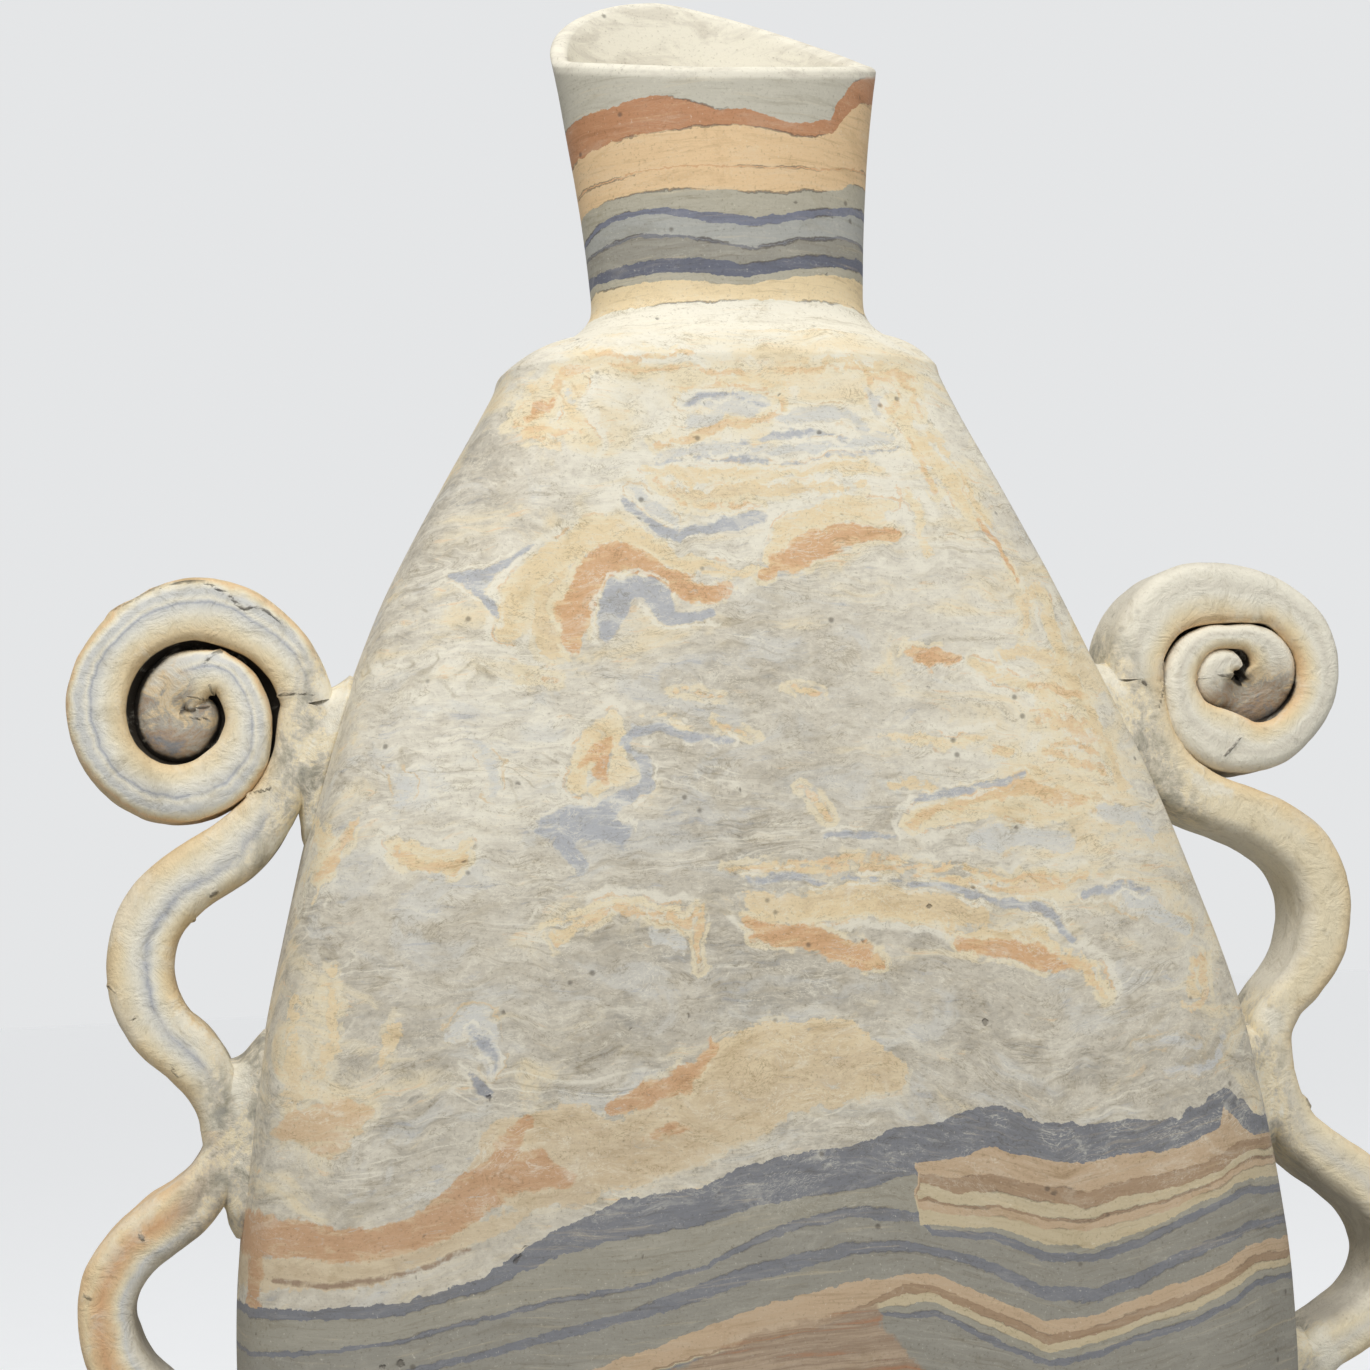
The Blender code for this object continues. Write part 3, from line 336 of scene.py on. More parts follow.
# Lumps and streaks of clay in the broad face, by tone
MARBLING = {
    "cream": (
        ((-40, 137, 3), (-28, 138.5, 3.2), (-16, 141.5, 3), (-8, 146, 2.5), (4, 150.5, 2), (20, 150.5, 1)),
        ((-78, 204, 1.2), (-72, 201, 2.2), (-65, 200.5, 1.6), (-62, 203, 0.8)),
        ((-40.3, 214.6, 2.3), (-38.3, 220.9, 3.1), (-33.1, 227.2, 2.5), (-30.5, 222.9, 2), (-31.9, 215.7, 1.7),
         (-36, 212.8, 1.7)), ((-25.6, 228.4, 0.5), (-21.1, 227.7, 0.7), (-16.2, 225.3, 0.6)),
        ((25.3, 197.2, 0.6), (39.5, 194.5, 0.7), (51, 191.8, 0.8), (62.7, 191.6, 1.1)),
        ((31.6, 204.3, 1), (40.5, 206.3, 1.3), (49.2, 206, 1.5), (59.4, 204.8, 1.3), (67.2, 205.9, 1)),
        ((44.4, 181.4, 0.7), (56, 179.5, 0.8), (63, 175.8, 0.7), (67.8, 170, 0.5)),
        ((-48.3, 186.1, 0.7), (-37.2, 189.7, 0.6), (-27.5, 188.8, 0.6), (-19.2, 187.9, 0.6)),
        ((-53.4, 246.5, 2.3), (-50, 253.2, 3.5), (-43.4, 261.5, 3.5), (-36.3, 266.7, 3.5), (-30.5, 267.7, 2.7),
         (-23.4, 263.3, 2.5), (-14.7, 259.8, 2.1), (-8.5, 258.4, 1.4), (-3.2, 257.6, 0.8), (1.1, 259.1, 1.2)),
        ((2.9, 261.3, 1.4), (7.5, 266, 2.7), (13.1, 269, 3.1), (19.8, 271.1, 2.9), (25.7, 271.2, 2.1),
         (29.6, 272.2, 1.2)),
        ((-23.9, 280.9, 0.8), (-18.7, 280.7, 1.4), (-8.1, 279.5, 1.8), (2.6, 278.9, 1.9), (13.5, 280.6, 1.9),
         (24.4, 281.7, 2.1), (28.9, 280.4, 1.2)), ((32.6, 275.3, 0.5), (35, 267.8, 0.8), (37.3, 260.1, 0.6)),
        ((-40, 304, 0.8), (-36, 300, 1.6), (-38, 294, 1.8), (-35, 286, 1.2)),
        ((-9, 294, 0.6), (-5, 299.5, 1), (2, 301.5, 1.2), (8, 299.5, 1.2), (8.5, 294, 1)),
        ((33, 296, 1.4), (37, 288, 2), (41, 281, 2.2), (45, 273, 1.8), (48, 267, 0.8)),
        ((62, 254, 1.2), (65, 246, 2.4), (64, 238, 2.2), (66, 230, 1.4)),
        ((46, 236, 0.6), (53, 233, 1.2), (58, 230, 1.4), (62, 227, 0.8)),
        ((24, 224, 0.5), (30, 222.5, 1), (38, 221, 0.9), (46, 222, 0.5)),
        ((-93, 212, 0.8), (-90.5, 206, 1.7), (-91.5, 199, 1.5), (-95, 193, 0.6)),
        ((27, 204, 0.8), (31, 207.5, 1.7), (40, 207.5, 2.1), (50, 206.5, 2.1), (60, 204.5, 1.6)),
        ((-8, 187.5, 1), (4, 187, 1.8), (16, 187.5, 2), (28, 185, 1.8), (33, 183, 0.8)),
    ),
    "tan": (
        ((-62, 140, 4), (-55, 141, 9), (-46, 141, 10.5), (-40, 141, 8)),
        ((-44, 140, 7), (-30, 142, 6.5), (-16, 149, 8.5), (-4, 156, 10), (8, 157, 9), (19, 154, 4)),
        ((-14, 158, 4), (-2, 160.5, 5), (8, 160, 4)),
        ((-110, 121, 3.6), (-98, 121, 3), (-85, 121, 2.6), (-74, 124.5, 2.4), (-64, 128, 2.2), (-56, 130, 1.5)),
        ((-99, 154, 1.2), (-98, 166, 0.9), (-97, 176, 0.6)), ((-93, 160, 0.8), (-92, 172, 1), (-91, 180, 0.5)),
        ((-82, 160, 1), (-80, 165, 1.6), (-79, 169, 0.6)),
        ((-6.4, 190.9, 1.7), (3.4, 189.5, 2.5), (17.6, 188.9, 3.1), (30.3, 186.4, 3.1), (41.8, 185.4, 2.3)),
        ((87.9, 172.5, 1.1), (85.2, 167, 1.7)),
        ((50.6, 238.2, 1.1), (58.1, 239.5, 1.4), (66.5, 233.4, 1.7), (72.9, 221.6, 1.7), (76.4, 211.4, 1.4)),
        ((25, 212.5, 0.8), (29.4, 212.9, 1.1), (32.8, 211.9, 0.6)),
        ((-45, 243.6, 2.6), (-44, 250, 3.2), (-41.4, 255.6, 2.8), (-37, 260, 1.6)),
        ((-20, 276.6, 1), (-13.7, 275, 1.9), (-7.4, 274.4, 2.1), (0.2, 275.7, 1.7), (7.7, 275.6, 1.2),
         (15.3, 275.9, 1.3), (24, 276.5, 0.8)), ((8, 304, 0.5), (16, 303.6, 0.7), (24, 305, 0.5)),
        ((-46, 301, 0.8), (-44.5, 297, 1.7), (-46, 292.5, 2.1), (-43.5, 288, 1.3), (-41.5, 284, 0.5)),
        ((26, 303.4, 0.5), (31, 304, 1.1), (36, 302.5, 1.3), (38.5, 298, 1), (37, 293.5, 0.9), (33, 292, 0.7)),
        ((41, 290, 0.5), (44, 283, 0.9), (48, 275, 0.8), (52, 268, 0.6)),
        ((61.5, 253, 0.8), (58.5, 250.5, 1.4), (57, 246.5, 1.3), (53.5, 243, 0.8)),
        ((47, 211.5, 0.8), (51, 213.5, 1.6), (56, 215, 1.5), (60, 213.5, 0.6)),
        ((46, 210, 0.8), (54, 210.8, 1.8), (62, 209, 1.7), (70, 208.5, 0.8)),
        ((34, 182, 1), (45, 180.5, 1.8), (56, 178.5, 1.6), (62.5, 174, 1.2), (66, 168, 0.8)),
    ),
    "peach": (
        ((-101, 148, 2), (-96, 149.5, 4.4), (-90, 151, 4.2), (-87, 152, 2.4)), ((-95, 145, 1.6), (-90, 146, 1.4)),
        ((-76.5, 202, 0.9), (-72, 198.8, 1.1), (-66, 198.2, 1.1), (-63.4, 200.6, 0.7)),
        ((-93, 198, 0.8), (-90, 201, 1.6), (-87, 206, 1.2), (-85.5, 209, 0.5)),
        ((-11.9, 226.3, 0.5), (-7.7, 225.4, 0.6), (-4, 224.1, 0.5)),
        ((-11.8, 196.1, 0.6), (-3.3, 197, 0.7), (10.9, 196.1, 0.7), (22.2, 194.8, 0.7), (33.6, 193, 0.7),
         (45.1, 190.5, 0.8), (53.7, 189.1, 1.3), (61.1, 189.7, 1.1), (65.1, 191.8, 0.6)),
        ((28.7, 204.1, 0.8), (34.8, 208.2, 1.1), (43.7, 209.9, 1.7), (52.7, 211.8, 2.5), (58.6, 209.4, 2),
         (65.9, 207.4, 1)), ((58.1, 176.9, 1), (62.8, 173.3, 1), (66.5, 167.3, 0.6)),
        ((-45.7, 183.8, 1), (-40.1, 186.8, 1), (-33.1, 188, 0.8), (-24.9, 186.7, 0.8), (-19.4, 185.4, 0.7),
         (-16.1, 188.3, 0.7), (-17.5, 182.9, 0.8), (-16.8, 177.9, 0.6)),
        ((86.5, 169.8, 0.7), (91.3, 173.8, 0.8), (88.9, 166.8, 1.1), (85.6, 163.1, 1.1), (83.3, 163.7, 0.6)),
        ((56, 232.2, 0.7), (63.3, 231.3, 1.1), (69.5, 229.7, 0.6)), ((47.5, 219.5, 0.7), (50.9, 217.9, 1.1)),
        ((56.8, 225, 0.6), (65.6, 223.1, 1.4), (71.5, 220.2, 0.8)),
        ((59.2, 219.1, 0.7), (64.9, 216.1, 0.8), (71.6, 214.4, 0.8)), ((5.2, 233.8, 0.8), (10.7, 233.4, 0.7)),
        ((6.6, 212.8, 0.5), (9.5, 207.9, 0.8), (11.8, 205.6, 0.5)),
        ((-21.5, 278.4, 0.5), (-16.8, 275.9, 0.5), (-12.8, 273.1, 0.6), (-5.4, 272.3, 0.5), (2, 271.8, 0.5)),
        ((-20.9, 286.6, 0.8), (-15, 287.4, 1.6), (-9.6, 288.9, 1.2), (-3.1, 290.4, 0.9), (3.4, 291.2, 0.7),
         (7.7, 293.4, 0.6), (8.1, 296.3, 0.5), (4, 298.5, 0.5), (-5.7, 299.2, 0.5), (-14.4, 298.2, 0.5)),
        ((-30, 304.2, 0.5), (-17.3, 302.6, 0.6), (-5.5, 301.9, 0.6), (9.7, 302.5, 0.7), (26.2, 303.1, 0.6),
         (38.4, 301.5, 0.5)),
        ((-47.7, 291.4, 1.4), (-44.4, 295.5, 2.1), (-41.1, 298.3, 1.2), (-39.6, 302.3, 1), (-34.8, 303.8, 0.8)),
        ((-48.8, 290.3, 0.7), (-41.5, 289.8, 0.9), (-36, 288.3, 0.5)),
        ((26.6, 297.5, 0.5), (29, 300.8, 0.5), (33.8, 301.7, 0.6), (37.9, 298.8, 0.6), (39.3, 294.1, 0.5)),
        ((28, 296.1, 0.5), (31.8, 293.7, 0.6), (35.1, 296.5, 0.5), (34.1, 299, 0.5)),
        ((36.1, 287.6, 0.5), (36.9, 281, 0.5), (38.6, 274.3, 0.5)),
        ((-51.3, 237.2, 0.5), (-47.2, 237.3, 0.6), (-43.1, 236.2, 0.5)),
        ((-18.5, 233.2, 0.5), (-14.3, 233.5, 0.7), (-10.1, 232.6, 0.5)),
        ((-34, 307, 0.5), (-24, 306, 0.8), (-12, 305.6, 0.6)),
        ((-44.5, 293, 0.6), (-46.5, 290, 1.1), (-44, 287.5, 0.5)),
        ((56, 227.5, 0.4), (61, 225.5, 0.8), (67, 225, 0.9), (71, 222.5, 0.4)),
        ((60, 219.5, 0.5), (65, 220.5, 0.9), (70, 217.5, 0.6)), ((-40.5, 245, 1), (-40, 251, 2.2), (-38, 257, 1.8)),
        ((2, 197.5, 0.5), (12, 198.3, 0.8), (22, 197.2, 0.7), (32, 195.4, 0.7), (42, 194.6, 0.7), (50, 191.6, 0.8),
         (60, 190.6, 0.8)),
    ),
    "terracotta": (
        ((-110, 128, 4.6), (-100, 128, 3.6), (-90, 126, 3), (-80, 127, 3.2), (-70, 131, 4), (-63, 136, 4.4),
         (-58, 142, 2.6), (-53, 149, 1.2)), ((-60, 137, 2.6), (-52, 139, 4), (-47, 137, 2)),
        ((-36, 150.5, 1.6), (-28, 152.6, 2.6), (-22, 154.5, 2.4), (-17, 160, 1.2), (-15, 164, 0.5)),
        ((-30, 144.2, 0.5), (-24, 145, 1.3), (-21, 146, 0.6)), ((-106, 133, 0.6), (-107, 124, 1.6), (-108, 112, 1)),
        ((92.5, 140, 1.2), (92.3, 144, 0.5)),
        ((-39.3, 218.7, 0.8), (-35.5, 221.1, 1.3), (-33.2, 223.6, 1.1), (-34.9, 217.7, 1.7), (-33.7, 214.6, 0.8)),
        ((-7.2, 186.6, 1.1), (0.2, 183.5, 2.5), (9.9, 180.1, 2.8), (17.1, 176.5, 1.1)),
        ((36.5, 180, 1.1), (42.8, 178.1, 2), (51.4, 176.9, 2.1), (57.4, 175.8, 1.4)),
        ((31.7, 241.5, 1), (35.5, 238.5, 2), (41.6, 237.7, 1)),
        ((-40.4, 244.6, 2.7), (-38.8, 250.9, 2.9), (-35.8, 257.2, 3.1), (-32.4, 262.2, 2.9), (-27.2, 261, 2.7),
         (-22.2, 258.2, 2.5), (-16.1, 254.9, 2.7), (-10.9, 253.9, 2.1), (-6.6, 255.3, 1)),
        ((1.6, 257.7, 0.8), (5.5, 260.1, 1.9), (11, 262.5, 2.7), (16.6, 264.6, 2.3), (22, 265.6, 1.9),
         (27.5, 265.7, 1.3), (29.9, 266.2, 0.6)), ((-46.4, 292.5, 0.8), (-43.7, 295.5, 1.2), (-41.8, 297.7, 0.6)),
        ((29.8, 241.7, 0.8), (33.8, 240.4, 1.3), (35.8, 238.2, 0.7)),
        ((49, 268.5, 0.4), (52.5, 265, 0.9), (55.5, 260.5, 1), (58.5, 255, 0.5)),
        ((38, 179.5, 1), (44, 178, 2.2), (54, 175.8, 2), (60, 173.8, 1)),
        ((-6, 183.5, 0.8), (0, 182.5, 1.8), (8, 181, 1.8), (16, 178.5, 1.4), (21, 175.5, 0.7)),
    ),
    "brown": (
        ((-104, 119.6, 0.5), (-95, 118.8, 0.5), (-85, 119.4, 0.5), (-75, 121.4, 0.5), (-66, 124.4, 0.5)),
        ((-9.4, 320.8, 0.6), (-5, 320.6, 0.9), (-2, 320.4, 0.5)),
    ),
    "blue": (
        ((-64, 166.5, 0.5), (-62, 163.5, 1.2), (-60.6, 162.5, 0.6), (-59, 159.5, 0.5)),
        ((-65, 158, 0.5), (-62.5, 156, 1.2), (-60, 155, 0.7)),
        ((-50, 207.5, 0.6), (-44, 207.6, 2.6), (-38, 207, 3.2), (-34, 205.4, 3.4), (-32.4, 203, 1.2)),
        ((-45, 201.6, 0.8), (-41.6, 200.6, 1.9), (-39.6, 197.6, 0.6)), ((-50, 205, 0.5), (-46.6, 204.2, 1)),
        ((-30.1, 223.2, 0.6), (-26.9, 225.1, 1), (-21.3, 225.6, 1), (-15, 224.2, 1), (-8, 222.8, 0.7)),
        ((-28.7, 222.6, 0.8), (-26.5, 218.6, 1.4), (-27, 214.4, 1.4), (-30.6, 210.4, 1.5), (-35.4, 207.8, 2),
         (-41, 206.8, 2.1), (-44, 202.8, 2.1), (-41.2, 197, 1.1)),
        ((-8.8, 194.4, 0.6), (3.7, 194.7, 0.6), (17.8, 192.8, 0.6), (32.1, 191.4, 0.7), (42, 188.8, 0.8),
         (50.6, 186.7, 0.8), (57.7, 183.4, 0.7), (61.8, 179.3, 0.6)),
        ((29, 208.6, 0.6), (35, 210.4, 0.7), (43.9, 211.8, 0.8), (53.6, 213.8, 0.6)),
        ((11.3, 202.5, 0.5), (18.5, 202.8, 0.8), (24.1, 201.8, 0.5)),
        ((65.4, 188.1, 0.6), (72.9, 189.2, 0.8), (78.7, 187.6, 0.6)),
        ((-33.4, 244.9, 1.2), (-32.6, 250.2, 2.5), (-30.5, 254.7, 2.5), (-25.5, 254.8, 2.5), (-22.3, 252.2, 2.3),
         (-20.1, 249.2, 1.9), (-15.4, 248.7, 1.4), (-10.3, 249.4, 1)),
        ((-28.4, 273.5, 0.6), (-24.6, 270, 1), (-20.6, 266.9, 1.1), (-15.4, 265.8, 0.9), (-11, 267.6, 1.1),
         (-3.5, 268.8, 1.7), (2.1, 269.6, 1.3)),
        ((-23.3, 282.2, 0.5), (-13.2, 282.7, 0.5), (-4.7, 282.1, 0.5), (5.9, 280.9, 0.5), (14.7, 282.3, 0.5),
         (22.4, 283.8, 0.5), (32.4, 285.4, 0.5)),
        ((-2.3, 286, 0.5), (3.1, 286.8, 0.5), (8.6, 288.3, 0.8), (15.1, 288.3, 0.6), (19.4, 287.5, 0.5)),
        ((-14.5, 295.5, 0.5), (-10.2, 296.8, 0.5), (-1.6, 296.6, 0.5), (3.7, 294.8, 0.5)),
        ((-64.6, 259, 0.8), (-60.5, 257.6, 2.1), (-56.4, 258.4, 1.9), (-52.1, 261.5, 0.9), (-47.4, 265, 0.5)),
        ((-58.6, 255.5, 1.4), (-55.7, 252.1, 1.1), (-54.6, 248.9, 0.5)),
    ),
    "pale": (
        ((-68, 166, 2), (-63, 168, 3), (-60, 160, 2)),
        ((78, 152, 0.7), (85, 151.6, 0.9), (92, 153.6, 1), (95, 158, 0.8)),
        ((74, 156.6, 0.6), (80, 157.4, 0.8), (88, 156.2, 0.6)),
        ((41.5, 200.9, 1.7), (51.6, 200.5, 2.3), (61.1, 199, 2)),
        ((69.8, 205, 1.8), (78.6, 203.8, 2.7), (81.9, 201.1, 1.7)), ((-26.4, 183.3, 1.3), (-21.5, 181.7, 1.7)),
        ((71.4, 188.4, 1.4), (79.9, 184.1, 2.3), (87, 179.6, 1.7)),
        ((-25.9, 275.2, 1.2), (-21.3, 271.9, 2.1), (-16.3, 268.6, 1.2)),
        ((-21.1, 284, 0.9), (-11, 284.8, 1.4), (-2.5, 283.8, 1.2), (8.3, 283.9, 1.7), (19.3, 285.8, 1.4),
         (30.9, 287.7, 1.4)), ((7.8, 291.4, 1.2), (15.5, 292.5, 2.1), (22.3, 293.5, 1.4), (25.1, 289.7, 1.2)),
        ((-15.4, 295.8, 1), (-11.8, 296.6, 1.7), (-6, 295, 2.3), (-0.6, 294.3, 2.3), (3.5, 295, 1.2)),
        ((-13.7, 291.8, 1.3), (-7.8, 292.2, 1.1)), ((-38.7, 299, 0.9), (-36.6, 295.7, 0.9)),
        ((27.9, 297.9, 0.7), (29.6, 297, 0.7)), ((-6, 294.5, 1), (-1, 296.5, 1.6), (4, 295.5, 1.4)),
        ((27, 299, 0.8), (28.5, 296, 1.1), (29, 293, 0.6)), ((-77, 221, 0.7), (-74.5, 215, 1.2), (-76, 209, 0.7)),
        ((-60, 224, 0.8), (-57.5, 219, 1.2), (-59, 213, 0.7)),
    ),
    "umber": (
        ((-52, 80, 3), (-40, 84, 6), (-24, 90, 9), (-8, 94, 10.5), (6, 96.5, 9.5), (13, 97, 7), (20, 90, 6),
         (24, 84, 5)), ((-12, 102, 2), (2, 104, 2.6), (13, 106, 2.4)),
    ),
}

# Small pits in the broad face, sunk in the relief and darkened with painted shade: place across, height and radius in
# millimetres
PITS = (
    (-57, 121.4, 0.4), (-56.2, 122.6, 0.55), (-55.2, 124, 0.3), (34, 233.2, 0.5), (35.2, 232.2, 0.4),
    (-60.8, 154.2, 0.6), (-80.6, 103.6, 0.8), (-84, 103, 0.6), (29.6, 186.4, 0.5), (42, 163.4, 0.5),
)

# Soft patches of paler or greyer ground: middle, reach across and up in millimetres, and amount
LIGHTER = (
    (4, 306, 62, 38, 1.7), (6, 282, 34, 22, 0.5), (-42, 262, 22, 22, 0.5), (36, 250, 40, 28, 0.35),
    (-58, 284, 15, 28, -0.9), (8, 244, 34, 10, -0.3), (62, 236, 24, 22, 0.3), (-62, 225, 26, 34, 1.05),
    (62, 214, 34, 26, 0.9), (-2, 228, 34, 16, -0.15), (-10, 176, 34, 18, -0.45), (-88, 176, 24, 26, -0.1),
    (60, 152, 50, 14, -0.3), (-20, 200, 26, 8, -0.2), (-40, 164, 40, 14, -0.25), (88, 184, 26, 20, 0.3),
)

# Soft patches of warmer ground, in the same order
WARMER = (
    (64, 222, 26, 30, 1.2), (6, 300, 60, 12, 1.2), (12, 276, 26, 12, 0.7), (-48, 254, 14, 14, 1),
    (-28, 266, 14, 10, 0.9), (20, 186, 46, 10, 0.5), (-96, 160, 12, 30, 0.7), (92, 172, 10, 22, 0.9),
    (-62, 292, 14, 20, 0.4), (-20, 212, 60, 40, -0.4), (30, 160, 60, 12, -0.4),
)

# Cracks and nicks on the front of the handles, pressed in and darkened with painted shade
CRACKS = (
    ((-98.6, 237.6, 0.25), (-95, 237.5, 0.2), (-92, 237.2, 0.1)),
    ((-136.2, 253.8, 0.05), (-132.1, 256.1, 0.15), (-128.3, 257.8, 0.15), (-124.8, 259.7, 0.2), (-120.8, 261, 0.15),
     (-116.7, 261.4, 0.2), (-113.9, 261.2, 0.25), (-111.6, 260, 0.2), (-109.3, 258.9, 0.25), (-107.9, 257, 0.35),
     (-105.9, 255.4, 0.3), (-104.2, 256.3, 0.25), (-101.4, 255, 0.2), (-98.1, 252.4, 0.15), (-95.9, 249.8, 0.15),
     (-94.1, 247.1, 0.05)), ((-105.8, 216.3, 0.1), (-103.5, 217.1, 0.2), (-101.6, 217.8, 0.25)),
    ((-114.3, 244.5, 0.15), (-112.8, 245.9, 0.3), (-111.1, 246.5, 0.4)),
    ((-119, 238, 0.05), (-115.6, 237.5, 0.2), (-113, 237.5, 0.3)),
    ((-118.8, 235.8, 0.05), (-115.7, 235.4, 0.2), (-112.9, 235.3, 0.3)),
    ((-118.6, 233.4, 0.05), (-115.7, 233.1, 0.15), (-112.9, 233.3, 0.2)), ((-113.4, 239.9, 0.25), (-112.4, 237, 0.3)),
    ((103.5, 236, 0.3), (108.3, 236.6, 0.25), (112.4, 236.5, 0.3)),
    ((-121.4, 123.8, 0.1), (-116.5, 124.7, 0.15), (-112, 123.9, 0.1)), ((-114.8, 196.3, 0.35), (-113.4, 197.2, 0.45)),
    ((121.6, 141.7, 0.25), (122.5, 139.8, 0.3)), ((94.8, 239.7, 0.15), (95, 235.1, 0.3), (93.3, 229, 0.1)),
    ((-134.9, 178.4, 0.25), (-133.4, 176.6, 0.1)), ((-131.5, 170.6, 0.2), (-130.2, 171.8, 0.1)),
    ((-122.9, 161.2, 0.25), (-121.6, 159.2, 0.15)), ((-130.2, 127.6, 0.4), (-129.6, 127, 0.4)),
    ((-141.2, 116.6, 0.3), (-140.2, 115.6, 0.3)), ((-118.4, 191.5, 0.35), (-117.8, 191, 0.35)),
    ((90, 235.4, 0.3), (90.6, 234.6, 0.3)), ((107.6, 217.9, 0.2), (110.4, 220.4, 0.25), (112.4, 222.6, 0.2)),
)

# Pale slip dabbed on where the straps meet the wall
DABS = (
    ((-90.5, 238.5, 1.8), (-87, 235.5, 2.8), (-88.5, 231, 1.6)),
    ((-101.5, 205.5, 1.2), (-97.6, 207.2, 2.6), (-93.5, 210, 1.4)),
    ((-116, 166.5, 0.8), (-111.5, 163, 1.8), (-109, 158, 2.4), (-109.8, 152, 1)),
    ((-121.5, 172, 1), (-117.5, 167, 1.4)), ((79, 243, 2.6), (82, 238, 2), (85.5, 233, 1)),
    ((110.5, 166, 1.6), (113.5, 161.5, 2.4), (116, 156, 1.4)), ((121.5, 89.5, 2), (124, 85, 2.6)),
    ((100.5, 214.5, 0.9), (104, 211.5, 1.6), (109, 210, 0.8)),
)


@dataclass
class ClayPattern:
    """The marbling of the vessel, worked out once for each vertex of its skin."""

    warp: ValueNoise = field(default_factory=lambda: ValueNoise(11))
    side_warp: ValueNoise = field(default_factory=lambda: ValueNoise(29))
    course: tuple[tuple[float, ...], ...] = (
        (-108, -90, -75, -60, -40, -20, 0, 20, 40, 55, 70, 85, 100), (0, -1.5, 1, 4, 3, 4, 6, 6, 1, -4, -1, 3, 6))

    def fields(self, points: Array) -> dict[str, Array]:
        """Work out the pattern's values.

        Args:
            points: Places on the skin in metres, three to each row.

        Returns:
            A named value for each place: distances in millimetres and layer numbers.
        """
        flat = points.reshape(-1, 3)
        x, y, z = (flat / MM).T
        behind = smoothstep(-26.0, 34.0, y)
        drift = [self.side_warp.read(flat + shift, 0.034) for shift in (0.0, 0.31)]
        x = x + behind * (9.0 * drift[0] - 5.0)
        z = z + behind * (7.0 * drift[1] + 3.0) * smoothstep(10.0, 40.0, 372.0 - z)
        ripple = [self.warp.read(flat + shift, 0.0072) for shift in (0.0, 0.17)]
        lump = [self.warp.read(flat + shift, 0.019) for shift in (0.41, 0.53)]
        fray = [self.warp.read(flat + shift, 0.0031) for shift in (0.63, 0.77)]
        calm = (1.0 - 0.72 * smoothstep(150.0, 128.0, z)) * (1.0 - 0.75 * smoothstep(306.0, 318.0, z))
        x = x + calm * (1.5 * ripple[0] + 1.2 * lump[0] + 1.0 * fray[0])
        z = z + calm * (1.0 * ripple[1] + 0.8 * lump[1] + 0.7 * fray[1])
        values = {tone: nearest(strokes, x, z) for tone, strokes in MARBLING.items()}
        for stack in STACKS:
            values[stack.name], values[stack.name + "_steep"] = stack.level(x, z)
        values["pit"] = np.min([np.hypot(x - a, z - b) - r for a, b, r in PITS], axis=0)
        for name, areas in (("light", LIGHTER), ("warm", WARMER)):
            values[name] = sum(amount * np.exp(-((x - a) / across) ** 2 - ((z - b) / up) ** 2)
                               for a, b, across, up, amount in areas)
        values["lie"] = z - np.interp(x, *self.course) * (1.0 - 0.8 * smoothstep(140.0, 215.0, z))
        return {name: value.reshape(points.shape[:-1]) for name, value in values.items()}


def curve(places: Array, values: Array, slopes: Array, targets: Array) -> Array:
    """Read a rounded curve through values at uneven places.

    Args:
        places: Rising places of the values.
        values: The values.
        slopes: Slope of the curve at each value.
        targets: Places to read the curve at.

    Returns:
        One value for each target.
    """
    index = np.clip(np.searchsorted(places, targets, side="right") - 1, 0, len(places) - 2)
    span = places[index + 1] - places[index]
    t = (targets - places[index]) / span
    blend = values[index] * (1 + 2 * t) * (1 - t) ** 2 + values[index + 1] * t * t * (3 - 2 * t)
    return blend + span * t * (1 - t) * (slopes[index] * (1 - t) - slopes[index + 1] * t)


def smooth_along(places: Array, values: Array, targets: Array) -> Array:
    """Read a curve whose slope at each value follows from its neighbours."""
    return curve(places, values, np.gradient(values, places), targets)


def smooth_through(stations: tuple[tuple[float, float], ...], heights: Array) -> Array:
    """Read a smooth curve that passes every station without overshooting.

    Args:
        stations: Pairs of height and value, in rising order.
        heights: Heights to read it at.

    Returns:
        One value for each height.
    """
    places, values = np.array(stations).T
    slopes = np.diff(values) / np.diff(places)
    product = slopes[:-1] * slopes[1:]
    total = np.where(product > 0, slopes[:-1] + slopes[1:], 1.0)
    tangents = np.concatenate([slopes[:1], np.where(product > 0, 2 * product / total, 0.0), slopes[-1:]])
    return curve(places, values, tangents, np.clip(heights, places[0], places[-1]))


def slope(points: Array, axis: int, closed: bool) -> Array:
    """Direction in which a grid of points runs along one of its axes.

    Args:
        points: Rows and columns of points.
        axis: 0 to go from row to row, 1 to go from column to column.
        closed: Whether the last row or column joins the first.

    Returns:
        One direction for each point.
    """
    if closed:
        return (np.roll(points, -1, axis) - np.roll(points, 1, axis)) / 2
    return np.gradient(points, axis=axis)


